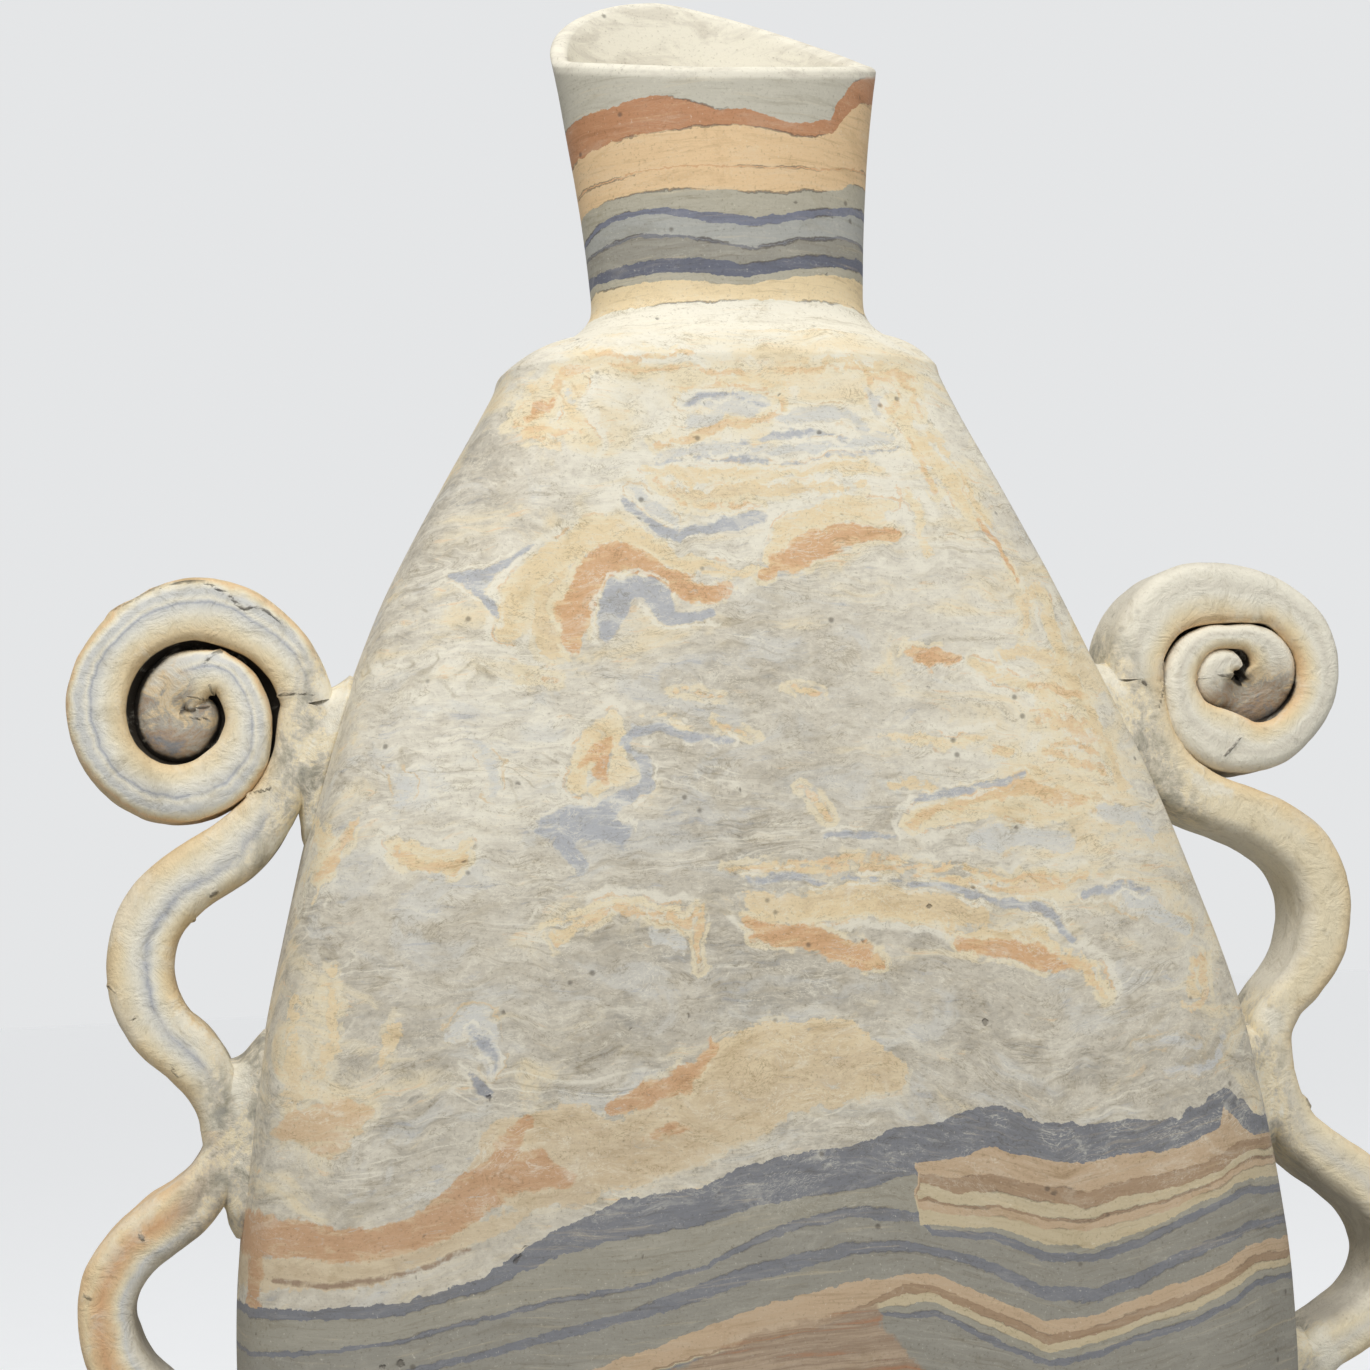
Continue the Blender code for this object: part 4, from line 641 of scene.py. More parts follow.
@dataclass
class Patch:
    """A grid of points on a piece: a hoop closes from column to column, a tube from row to row."""

    points: Array
    hoop: bool = False
    tube: bool = False
    inward: bool = False
    normals: Array | None = None

    def shaded_by(self) -> Array:
        """Normals of the grid's outer side, worked out from its own points where none are given."""
        if self.normals is None:
            normals = np.cross(slope(self.points, 1, self.hoop), slope(self.points, 0, self.tube))
            lengths = np.linalg.norm(normals, axis=-1, keepdims=True)
            self.normals = normals / np.maximum(lengths, 1e-12)
        return -self.normals if self.inward else self.normals

    def add_to(self, bm: bmesh.types.BMesh, layer: bmesh.types.BMLayerItem, first: int) -> None:
        """Lay the grid into a mesh, each vertex numbered by its place in the piece's list of points.

        Args:
            bm: Mesh that the grid joins.
            layer: Whole-number layer that keeps each vertex's place.
            first: Place of the grid's first point.
        """
        rows, columns = self.points.shape[:2]
        across, up = columns - 1 + int(self.hoop), rows - 1 + int(self.tube)
        made = bmesh.ops.create_grid(bm, x_segments=across, y_segments=up, size=1.0)
        places = self.points.tolist()
        for vert in made["verts"]:
            row = round((vert.co.y + 1) / 2 * up) % rows
            column = round((vert.co.x + 1) / 2 * across) % columns
            vert[layer] = first + row * columns + column
            vert.co = places[row][column]
        if self.inward:
            bmesh.ops.reverse_faces(bm, faces=list({face for vert in made["verts"] for face in vert.link_faces}))


def place_piece(node: str, slot: str, patches: list[Patch], fields: dict[str, Array],
                clay: bpy.types.Material) -> None:
    """Make one closed piece from its grids of points, dress it and put it in its solid's place.

    Args:
        node: Name of the solid.
        slot: Slot that the piece would take its finish from; not used.
        patches: Grids of points; open borders are bridged to each other.
        fields: Values that the piece's material reads, one for each point of all the grids in order.
        clay: Its material.
    """
    bm = bmesh.new()
    layer = bm.verts.layers.int.new("place")
    first = 0
    for patch in patches:
        patch.add_to(bm, layer, first)
        first += patch.points.shape[0] * patch.points.shape[1]
    bmesh.ops.remove_doubles(bm, verts=bm.verts, dist=1e-6)
    border = [edge for edge in bm.edges if edge.is_boundary]
    if border:
        bmesh.ops.bridge_loops(bm, edges=border)
    mesh = bpy.data.meshes.new(node + "_skin")
    bm.to_mesh(mesh)
    bm.free()
    mesh.materials.append(clay)
    places = np.zeros(len(mesh.vertices), dtype=np.int32)
    mesh.attributes["place"].data.foreach_get("value", places)
    for label, values in fields.items():
        attribute = mesh.attributes.new(label, "FLOAT", "POINT")
        attribute.data.foreach_set("value", values[places].astype(np.float32))
    mesh.shade_smooth()
    normals = np.concatenate([patch.shaded_by().reshape(-1, 3) for patch in patches])
    mesh.normals_split_custom_set_from_vertices(normals[places].tolist())
    mesh.attributes.remove(mesh.attributes["place"])
    piece = bpy.data.objects.new(node + "_skin", mesh)
    bpy.context.scene.collection.objects.link(piece)
    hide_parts(node)
    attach(piece, "root")
    LOG.info("%s: %d faces", piece.name, len(mesh.polygons))


@dataclass
class Vessel:
    """Body, shoulder and neck of the vase, shaped as one skin and cut into its pieces of clay."""

    seat: float = 0.3143
    coil_top: float = 0.3234
    rim: float = 0.3797
    shoulder: float = 0.3045
    base: float = 0.007
    wall: float = 0.006
    neck_wall: float = 0.005
    lip_wall: float = 0.0044
    side_crown: float = 0.003
    rounding: float = 0.024
    base_rows: int = 3
    neck_offset: float = 0.0022
    neck_height: float = 0.0654
    neck_across: float = 0.0606
    neck_through: float = 0.038
    coil_start: float = 0.62
    rim_tilt: float = 0.36
    crest: float = 0.0134
    crest_left: float = 0.0095
    mouth_half: float = 0.0378
    lip_drop: float = 0.0022
    front_columns: int = 280
    side_columns: int = 30
    back_columns: int = 130
    wall_rows: int = 325
    widths: tuple = ((0.0, 0.2100), (0.098, 0.2244), (0.150, 0.2150), (0.200, 0.1906), (0.250, 0.1545),
                     (0.3045, 0.0990))
    depths: tuple = ((0.0, 0.078), (0.098, 0.086), (0.200, 0.077), (0.250, 0.067), (0.3045, 0.054))
    edge_drops: tuple = ((0.0, 0.013), (0.098, 0.013), (0.3045, 0.010))
    dents: ValueNoise = field(default_factory=lambda: ValueNoise(3))
    pattern: ClayPattern = field(default_factory=ClayPattern)
    skin: Array = field(init=False)
    normals: Array = field(init=False)
    clay: bpy.types.Material = field(init=False)

    def half_width(self, z: Array) -> Array:
        """Distance from the body's middle to a side's outer face at mid-depth."""
        return smooth_through(self.widths, z) / 2

    def half_depth(self, z: Array) -> Array:
        """Distance from the middle plane to a broad face at the body's middle."""
        return smooth_through(self.depths, z) / 2

    def sway(self, z: Array) -> Array:
        """Sideways lean of the body's middle."""
        t = np.minimum(1.0, np.abs(z - 0.252) / 0.090)
        return -0.0035 * (1 - t * t * (3 - 2 * t))

    def body(self, z: Array) -> Array:
        """Rings of points round the body, from the front left corner over the front and on.

        Args:
            z: Height of each ring.

        Returns:
            Rows of points, one row for each height.
        """
        z = z[:, None]
        corner = self.half_depth(z) - smooth_through(self.edge_drops, z)
        edge = self.half_width(z) - self.side_crown

        def broad(share: Array, facing: int) -> Array:
            """Points along a broad face, drawn in towards its edges."""
            x = edge * share
            t = np.clip((np.abs(x) - edge + self.rounding) / self.rounding, 0.0, 1.0)
            y = facing * (self.half_depth(z) - (self.half_depth(z) - corner) * t ** 1.8)
            return np.stack([x, y, z + 0 * x], axis=-1)

        def narrow(share: Array, side: int) -> Array:
            """Points along a narrow face, domed a little."""
            x = side * (self.half_width(z) - self.side_crown * share ** 2)
            return np.stack([x, corner * share, z + 0 * x], axis=-1)

        across = np.linspace(-1, 1, self.front_columns + 1)[None, :-1]
        through = np.linspace(-1, 1, self.side_columns + 1)[None, :-1]
        behind = np.linspace(1, -1, self.back_columns + 1)[None, :-1]
        rings = np.concatenate([broad(across, -1), narrow(through, 1), broad(behind, 1), narrow(-through, -1)], axis=1)
        rings[..., 0] += self.sway(z)
        return self.soften_corners(rings)

    def soften_corners(self, rings: Array) -> Array:
        """Round the body's four upright corners a little.

        Args:
            rings: Rows of points round the body.

        Returns:
            The same rows, softened.
        """
        columns = rings.shape[1]
        place = np.arange(columns)
        weight = np.zeros(columns)
        for corner in self.corners():
            away = np.abs((place - corner + columns // 2) % columns - columns // 2)
            weight = np.maximum(weight, np.clip(1 - away / 4.0, 0.0, 1.0))
        for _ in range(10):
            middle = (np.roll(rings, 1, 1) + np.roll(rings, -1, 1)) / 2
            rings = rings + (middle - rings) * (0.6 * weight)[None, :, None]
        return rings

    def corners(self) -> tuple[int, int, int, int]:
        """Columns of the front left, front right, back right and back left corners."""
        right = self.front_columns
        return 0, right, right + self.side_columns, right + self.side_columns + self.back_columns

    def neck_point(self, angle: Array, z: Array, inset: Array | float = 0.0) -> Array:
        """Points of the neck: an oval, pinched to a corner on its right side near the mouth.

        Args:
            angle: Angle of each point on the oval.
            z: Its height.
            inset: How far it lies inside the outer face.

        Returns:
            The points.
        """
        rise = np.clip((z - self.seat) / self.neck_height, 0.0, 2.0)
        half_across = (self.neck_across + 0.0150 * rise ** 1.5) / 2
        half_through = (self.neck_through + 0.004 * rise ** 1.5) / 2
        pinch = np.where(np.cos(angle) > 0, 0.5 * np.clip(rise, 0.0, 1.0) ** 2, 0.0)
        power = 2 / (2 - pinch)
        x = (half_across - inset * (1 + pinch)) * np.abs(np.cos(angle)) ** power * np.sign(np.cos(angle))
        y = (half_through - inset) * np.abs(np.sin(angle)) ** power * np.sign(np.sin(angle))
        return np.stack(np.broadcast_arrays(self.neck_offset + x, y, z), axis=-1)

    def rim_height(self, angle: Array) -> Array:
        """Height of the rim: low in front, high at the back with its crest left of the middle."""
        place = self.neck_point(angle, np.full_like(angle, self.rim))
        height = self.rim + self.rim_tilt * place[..., 1]
        across = place[..., 0] - self.neck_offset + self.crest_left
        left = np.sqrt(1 - np.clip(-across / (self.mouth_half - self.crest_left), 0.0, 1.0) ** 2)
        right = 1 - np.clip(across / (self.mouth_half + self.crest_left), 0.0, 1.0) ** 1.3
        behind = place[..., 1] > 0
        return height + np.where(behind, self.crest * np.where(across < 0, left, right), 0.0)

    def upper(self, top_ring: Array) -> tuple[Array, Array, Array, Array]:
        """Rings of the shoulder, the joint coil, the neck's outside with its lip, and its inside.

        Args:
            top_ring: The body's highest ring of points.

        Returns:
            Four grids of points.
        """
        offset = top_ring[:, :2] - (self.neck_offset, 0.0)
        angle = np.arctan2(offset[:, 1] / (self.neck_through / 2), offset[:, 0] / (self.neck_across / 2))
        foot = self.neck_point(angle, np.full_like(angle, self.seat))
        edge = np.column_stack([top_ring[:, :2], np.full(len(angle), self.seat)])

        def crown(share: float) -> float:
            """Height of the shoulder at a share of the way from its edge to the neck."""
            return self.seat - (self.seat - self.shoulder - 0.0015) * (1 - share) ** 2.8

        slab = []
        for rise in (0.35, 0.7, 1.0):
            ring = edge.copy()
            ring[:, 2] = self.shoulder + (crown(0.0) - self.shoulder) * rise
            slab.append(ring)
        for share in self.coil_start * np.linspace(0, 1, 27)[1:] ** 1.4:
            ring = edge + (foot - edge) * share
            ring[:, 2] = crown(share)
            slab.append(ring)
        outer = edge + (foot - edge) * self.coil_start
        low = crown(self.coil_start)
        coil = []
        for climb in np.linspace(0, 1, 19)[1:] ** 1.25:
            z = low + (self.coil_top - low) * climb
            ring = self.neck_point(angle, np.full_like(angle, z), -0.0003)
            ring[:, :2] += (outer - foot)[:, :2] * (1 - climb) ** 2.2
            coil.append(ring)
        top = self.rim_height(angle) - self.lip_drop
        outside = []
        for share in np.linspace(0, 1, 61)[1:]:
            z = self.coil_top + (top - self.coil_top) * share
            outside.append(self.neck_point(angle, z, -0.0003 * (1 - share) ** 3))
        for turn in np.radians([12, 26, 40, 56, 73, 90, 107, 124, 142, 162]):
            inset = self.lip_wall * (1 - math.cos(turn)) / 2
            ring = self.neck_point(angle, top, inset)
            ring[:, 2] = top + 0.0021 * math.sin(turn)
            outside.append(ring)
        inside = []
        for share in np.linspace(1, 0, 31):
            z = self.seat + (top - self.seat) * share
            inside.append(self.neck_point(angle, z, self.neck_wall + (self.lip_wall - self.neck_wall) * share))
        return np.array(slab), np.array(coil), np.array(outside), np.array(inside)

    def dent(self, points: Array) -> Array:
        """Press shallow hollows into the skin, always inwards and never at the foot.

        Args:
            points: Rows of points round the vessel.

        Returns:
            The same rows, pressed in.
        """
        outward = Patch(points, hoop=True).shaded_by()
        depth = self.dents.lumps(points, (0.0005, 0.0, 0.045), (0.00028, 0.2, 0.013), (0.00005, 0.4, 0.004))
        depth = depth * smoothstep(0.0, 0.012, points[..., 2])
        return points - outward * depth[..., None]

    def build(self) -> None:
        """Build the eight pieces, dress them and put each in its solid's place."""
        heights = np.concatenate([[0.0, 0.0012], np.linspace(self.base, self.shoulder, self.wall_rows + 1)])
        body = self.body(heights)
        body[0, :, :2] *= 0.988
        slab, coil, outside, inside = self.upper(body[-1])
        skin = np.concatenate([body, slab, coil, outside])
        marks = np.cumsum([len(body), len(slab), len(coil)])
        for row in (marks[0] - 1, marks[1] - 1, marks[2] - 1):
            for _ in range(6):
                middle = (skin[row - 4:row + 4] + skin[row - 2:row + 6]) / 2
                skin[row - 3:row + 5] += (middle - skin[row - 3:row + 5]) * 0.5
        self.skin = self.dent(skin)
        self.normals = Patch(self.skin, hoop=True).shaded_by()
        self.clay = MarbledClay("marbled_body_clay").material()
        self.add_base()
        self.add_walls(marks[0])
        self.add_rings(*(marks - 1), inside)

    def finish_piece(self, node: str, slot: str, patches: list[Patch], bare: Array | None = None) -> None:
        """Make one piece of the vessel and put it in its solid's place.

        Args:
            node: Name of the solid.
            slot: Slot that the piece would take its finish from; not used.
            patches: Its grids of points.
            bare: Share of plain pale clay at each point, where there is any.
        """
        points = np.concatenate([patch.points.reshape(-1, 3) for patch in patches])
        fields = self.pattern.fields(points)
        fields["bare"] = np.zeros(len(points)) if bare is None else bare.ravel()
        place_piece(node, slot, patches, fields, self.clay)

    def add_base(self) -> None:
        """Add the base slab: its outer edge, and its flat faces drawn in to the middle."""
        rows, facing = self.skin[:self.base_rows], self.normals[:self.base_rows]
        under = [rows[0] * (share, share, 1.0) for share in (0.0, 0.2, 0.4, 0.6, 0.8, 0.9, 0.96)]
        over = [rows[-1] * (share, share, 1.0) for share in (0.96, 0.9, 0.6, 0.3, 0.0)]
        points = np.array([*under, *rows, *over])
        up = np.tile((0.0, 0.0, 1.0), (rows.shape[1], 1))
        shade = np.array([-up] * len(under) + [*facing] + [up] * len(over))
        self.finish_piece("base_slab", "base_clay", [Patch(points, hoop=True, normals=shade)])

    def add_walls(self, top: int) -> None:
        """Add the four upright slabs, each a skin with a coarser inner face bridged to it.

        Args:
            top: Row above the walls' highest one.
        """
        walls = slice(self.base_rows - 1, top)
        sides = ("front_slab", "right_side_slab", "back_slab", "left_side_slab")
        ends = (*self.corners(), self.skin.shape[1])
        for node, start, stop in zip(sides, ends, ends[1:]):
            columns = np.arange(start, stop + 1) % self.skin.shape[1]
            outer, facing = self.skin[walls][:, columns], self.normals[walls][:, columns]
            coarse = (slice(None, None, 5), slice(None, None, 5 if len(columns) > 60 else 3))
            inner = (outer - facing * self.wall)[coarse]
            patches = [Patch(outer, normals=facing), Patch(inner, normals=facing[coarse], inward=True)]
            self.finish_piece(node, "marbled_body", patches)

    def add_rings(self, low: int, middle: int, high: int, inside: Array) -> None:
        """Add the shoulder slab, the joint coil and the neck, each closed round the vessel.

        Args:
            low: Row of the skin where the shoulder starts.
            middle: Row where the coil starts.
            high: Row where the neck starts.
            inside: Rows of points down the inside of the neck.
        """
        skin = self.skin
        hole = inside[-1] * (1, 1, 0) + (0, 0, self.seat)
        spans = (
            ("shoulder_slab", "marbled_body", low, middle + 1,
             [hole, hole - (0, 0, 0.0095), (hole + skin[low]) / 2 * (1, 1, 0) + (0, 0, self.shoulder)]),
            ("neck_joint_coil", "joint_clay", middle, high + 1,
             [skin[high] * (0.96, 0.94, 1.0), skin[high] * (0.96, 0.94, 0.0) + (0, 0, self.seat + 0.0002)]),
            ("neck_tube", "marbled_neck", high, len(skin),
             [*inside, skin[high] * (0.97, 0.96, 0.0) + (0, 0, self.seat + 0.0003)]),
        )
        for node, slot, start, stop, rest in spans:
            outer = skin[start:stop]
            points = np.concatenate([outer, np.array(rest)])
            shade = Patch(points, hoop=True, tube=True).shaded_by()
            shade[:len(outer)] = self.normals[start:stop]
            bare = np.ones(points.shape[:2]) * (node == "neck_tube")
            bare[:len(outer)] *= smoothstep(0.0036, 0.0022, points[:, :, 2].max(axis=0) - outer[:, :, 2])
            self.finish_piece(node, slot, [Patch(points, hoop=True, tube=True, normals=shade)], bare)


def handle_marks(points: Array) -> dict[str, Array]:
    """Distances to the cracks and the dabs of slip on the front of a handle.

    Args:
        points: Places in metres.

    Returns:
        Distances in millimetres, large behind the front.
    """
    x, y, z = (points.reshape(-1, 3) / MM).T
    behind = 30.0 * smoothstep(-7.0, -3.0, y)
    return {"crack": nearest(CRACKS, x, z) + behind, "slip": nearest(DABS, x, z) + behind * 0.3}


@dataclass
class Strap:
    """A strap of clay: its line seen from the front, its thickness, and how far its face is sunk."""

    node: str
    stations: tuple[tuple[float, ...], ...]
    side: int
    depth: float = 19.6
    tip: bool = False
    heart: tuple[float, float] = (0.0, 0.0)
    corner: float = 2.4
    inner_corner: float = 1.5
    crown: float = 0.5
    step: float = 0.7
    pressed: float = 0.0
    pressed_run: float = 1000.0
    lumps: ValueNoise = field(default_factory=lambda: ValueNoise(7))

    def line(self) -> tuple[Array, Array, Array, Array]:
        """Work out the strap's middle line in even steps.

        Returns:
            Places, thicknesses, how far the face is sunk, and distances along the line, in millimetres.
        """
        keys = np.array([(*station, 0.0)[:4] for station in self.stations])
        lengths = np.concatenate([[0], np.cumsum(np.hypot(*np.diff(keys[:, :2], axis=0).T))])
        dense = np.linspace(0, lengths[-1], max(8, round(lengths[-1] / self.step)) + 1)
        smooth = np.stack([smooth_along(lengths, keys[:, column], dense) for column in range(4)], axis=-1)
        return smooth[:, :2], smooth[:, 2], smooth[:, 3], dense

    def section(self, thickness: Array, sunk: Array,
                closing: Array) -> tuple[Array, Array, Array]:
        """Soft-cornered section of the strap at each row.

        Args:
            thickness: Thickness of the strap at each row.
            sunk: How far its front face lies behind that of the other straps.
            closing: How far the middle of its inner side bulges out to meet the clay beside it.

        Returns:
            Distances out from the middle line, distances through, and places across from -1 to 1.
        """
        half = thickness[:, None] / 2
        bend = np.radians(np.linspace(0, 90, 7))[None, :]
        flats = np.linspace(0, 1, 14)[None, 1:-1]
        corners = []
        inner_corner = self.inner_corner * (1 - 0.75 * smoothstep(0.8, 2.2, sunk))
        for quarter, (side, deep) in enumerate(((1, 1), (-1, 1), (-1, -1), (1, -1))):
            turn = bend + quarter * math.pi / 2
            corner = np.minimum(self.corner if side > 0 else inner_corner, thickness * 0.42)[:, None]
            reach = self.depth / 2 - (sunk[:, None] if deep < 0 else 0.0)
            corners.append((side * (half - corner) + corner * np.cos(turn),
                            deep * (reach - corner) + corner * np.sin(turn)))
        out, through = [], []
        for (x0, y0), (x1, y1) in zip(corners, (*corners[1:], corners[0])):
            out += [x0, x0[:, -1:] + (x1[:, :1] - x0[:, -1:]) * flats]
            through += [y0, y0[:, -1:] + (y1[:, :1] - y0[:, -1:]) * flats]
        outs, throughs = np.concatenate(out, axis=1), np.concatenate(through, axis=1)
        across = outs / half
        buried = smoothstep(-5.5, -1.5, throughs) * smoothstep(9.2, 7.5, throughs)
        outs = outs + np.where(across < 0, closing[:, None] * across * buried, 0.0)
        dome = self.crown * across ** 2 + 0.45 * sunk[:, None] * np.maximum(across, 0.0) ** 2
        return outs, throughs + np.where(throughs < 0, dome, 0.0), across

    def build(self, vessel: Vessel) -> tuple[list[Patch], dict[str, Array]]:
        """Sweep the strap's section along its line.

        Args:
            vessel: The vessel beside the strap.

        Returns:
            The strap's grid of points, and the values that its clay reads.
        """
        line, thickness, sunk, along = self.line()
        run = np.gradient(line, axis=0)
        run /= np.linalg.norm(run, axis=1, keepdims=True)
        inward = np.stack([run[:, 1], -run[:, 0]], axis=-1) * self.side
        if self.tip:
            thickness = thickness * np.sqrt(np.clip((along[-1] - along + 0.3) / 2.4, 0.0, 1.0))
        closing = self.pressed * smoothstep(self.pressed_run, self.pressed_run * 0.55, along)
        out, y, across = self.section(thickness, sunk, closing)
        points = np.stack([line[:, :1] + inward[:, :1] * out, y, line[:, 1:] + inward[:, 1:] * out], axis=-1) * MM
        order = -1 if self.side > 0 else 1
        points, across = points[:, ::order], across[:, ::order]
        facing = np.stack([run[:, 0], 0 * along, run[:, 1]], axis=-1)[:, None].repeat(points.shape[1], 1)
        shade = Patch(points, hoop=True).shaded_by()
        heart = np.array((self.heart[0], 0.0, self.heart[1]))
        far = np.linalg.norm((points / MM - heart) * (1, 0, 1), axis=-1)
        marks = {name: value.reshape(far.shape) for name, value in handle_marks(points).items()}
        press = self.lumps.lumps(points, (0.00035, 0.0, 0.014), (0.0003, 0.1, 0.0045), (0.00012, 0.2, 0.0019))
        press += 0.0006 * smoothstep(0.6, 0.0, marks["crack"])
        points = points - shade * press[..., None]
        away = np.abs(points[..., 0] - vessel.sway(points[..., 2])) - vessel.half_width(points[..., 2])
        # Mask of painted shade on the scroll's inner sides, deep in its gaps near its middle
        gap_shade_mask = smoothstep(0.62, 0.98, np.abs(across)) * smoothstep(-9.0, -4.5, y[:, ::order])
        gap_shade_mask = gap_shade_mask * smoothstep(22.0, 19.5, far)
        values = {"across": across, "away": away / MM, **marks, "gap_shade_mask": gap_shade_mask,
                  "core": smoothstep(0.8, 2.2, sunk)[:, None] + 0 * far}
        ends = [points[end].mean(axis=0)[None, None].repeat(points.shape[1], 1) for end in (0, -1)]
        rows = np.concatenate([ends[0], points, ends[1]])
        shade = np.concatenate([-facing[:1], shade, facing[-1:]])
        values = {name: np.concatenate([value[:1], value, value[-1:]]).ravel() for name, value in values.items()}
        return [Patch(rows, hoop=True, normals=shade)], values


@dataclass
class Pad:
    """Clay smeared between a strap and the side wall, with hollow upper and lower edges."""

    node: str
    side: int
    top: float
    bottom: float
    strap_line: tuple[tuple[float, float], ...]
    top_dip: float = 5.0
    bottom_dip: float = 5.0
    wall_half: float = 12.4
    strap_half: float = 9.9
    rows: int = 44
    columns: int = 28
    lumps: ValueNoise = field(default_factory=lambda: ValueNoise(17))

    def build(self, vessel: Vessel) -> tuple[list[Patch], dict[str, Array]]:
        """Fill the space between strap and wall.

        Args:
            vessel: The vessel whose side wall the pad sits on.

        Returns:
            The pad's grid of points, and the values that its clay reads.
        """
        share = np.linspace(0, 1, self.columns + 1)
        loop = np.concatenate([share, share[-2:0:-1]])
        facing = np.concatenate([-np.ones(self.columns + 1), np.ones(self.columns - 1)])
        fall = (1 - np.cos(np.linspace(0, math.pi, self.rows + 1))) / 2
        saddle = 1 - (2 * loop - 1) ** 2
        high = self.top - self.top_dip * saddle
        low = self.bottom + self.bottom_dip * saddle
        z = high[None, :] + (low - high)[None, :] * fall[:, None]
        heights, places = np.array(sorted((b, a) for a, b in self.strap_line)).T
        strap = np.interp(z, heights, places)
        wall = self.side * (vessel.half_width(z * MM) - 0.0012) / MM + vessel.sway(z * MM) / MM
        x = strap + (wall - strap) * loop[None, :]
        swell = np.clip(1 - np.abs(2 * fall - 1) ** 5, 0.0, 1.0)[:, None] ** 0.5
        deep = self.strap_half + (self.wall_half - self.strap_half) * loop[None, :] ** 2
        y = facing[None, :] * deep * swell
        points = np.stack([x, y, z], axis=-1) * MM
        order = -1 if self.side > 0 else 1
        patch = Patch(points[:, ::order], hoop=True)
        shade = patch.shaded_by()
        press = 0.0008 * self.lumps.read(patch.points, 0.009) + 0.0005 * self.lumps.read(patch.points, 0.004) + 0.0004
        press *= (0.25 + 0.75 * smoothstep(0.1, 0.6, loop))[None, ::order]
        press[[0, -1]] = 0.0
        patch.points = patch.points - shade * press[..., None]
        patch.normals = None
        return [patch], handle_marks(patch.points)


@dataclass
class ScrollHandle:
    """A handle of one side: its scroll, two straps and three pads."""

    label: str
    side: int
    centre: tuple[float, float]
    turns: tuple[tuple[float, ...], ...]
    upper: tuple[tuple[float, float, float], ...]
    lower: tuple[tuple[float, float, float], ...]
    pads: tuple[Pad, ...]
    stripes: tuple[tuple[tuple[float, Tone], ...], ...]

    def scroll_stations(self) -> tuple[tuple[float, ...], ...]:
        """Middle line of the scroll, from its joint over the top and inwards."""
        angles, radii, sizes, depths = np.array([(*turn, 0.0)[:4] for turn in self.turns]).T
        fine = np.arange(angles[0], angles[-1] + 0.1, 6.0)
        radius = smooth_along(angles, radii - sizes / 2, fine)
        size = smooth_along(angles, sizes, fine)
        sunk = smooth_along(angles, depths, fine)
        turn = np.radians(fine)
        x = self.centre[0] - self.side * radius * np.cos(turn)
        z = self.centre[1] + radius * np.sin(turn)
        return tuple(zip(x.tolist(), z.tolist(), size.tolist(), sunk.tolist()))

    def build(self, vessel: Vessel) -> None:
        """Build the handle's pieces, dress them and put each in its solid's place.

        Args:
            vessel: The vessel that the handle is pressed onto.
        """
        straps = (
            Strap(self.label + "_scroll", self.scroll_stations(), -self.side, tip=True, heart=self.centre, pressed=2.6),
            Strap(self.label + "_upper_strap", self.upper, self.side, heart=self.centre, inner_corner=2.2, pressed=1.5,
                  pressed_run=34.0),
            Strap(self.label + "_lower_strap", self.lower, self.side, inner_corner=2.2),
        )
        smear = SmearedClay(self.label + "_smeared_clay").material()
        for strap, part, stripes in zip(straps, ("scroll", "upper", "lower"), self.stripes):
            clay = HandleClay(f"{self.label}_{part}_clay", stripes=stripes).material()
            place_piece(strap.node, "handle_clay", *strap.build(vessel), clay)
        for pad in self.pads:
            place_piece(pad.node, "joint_clay", *pad.build(vessel), smear)


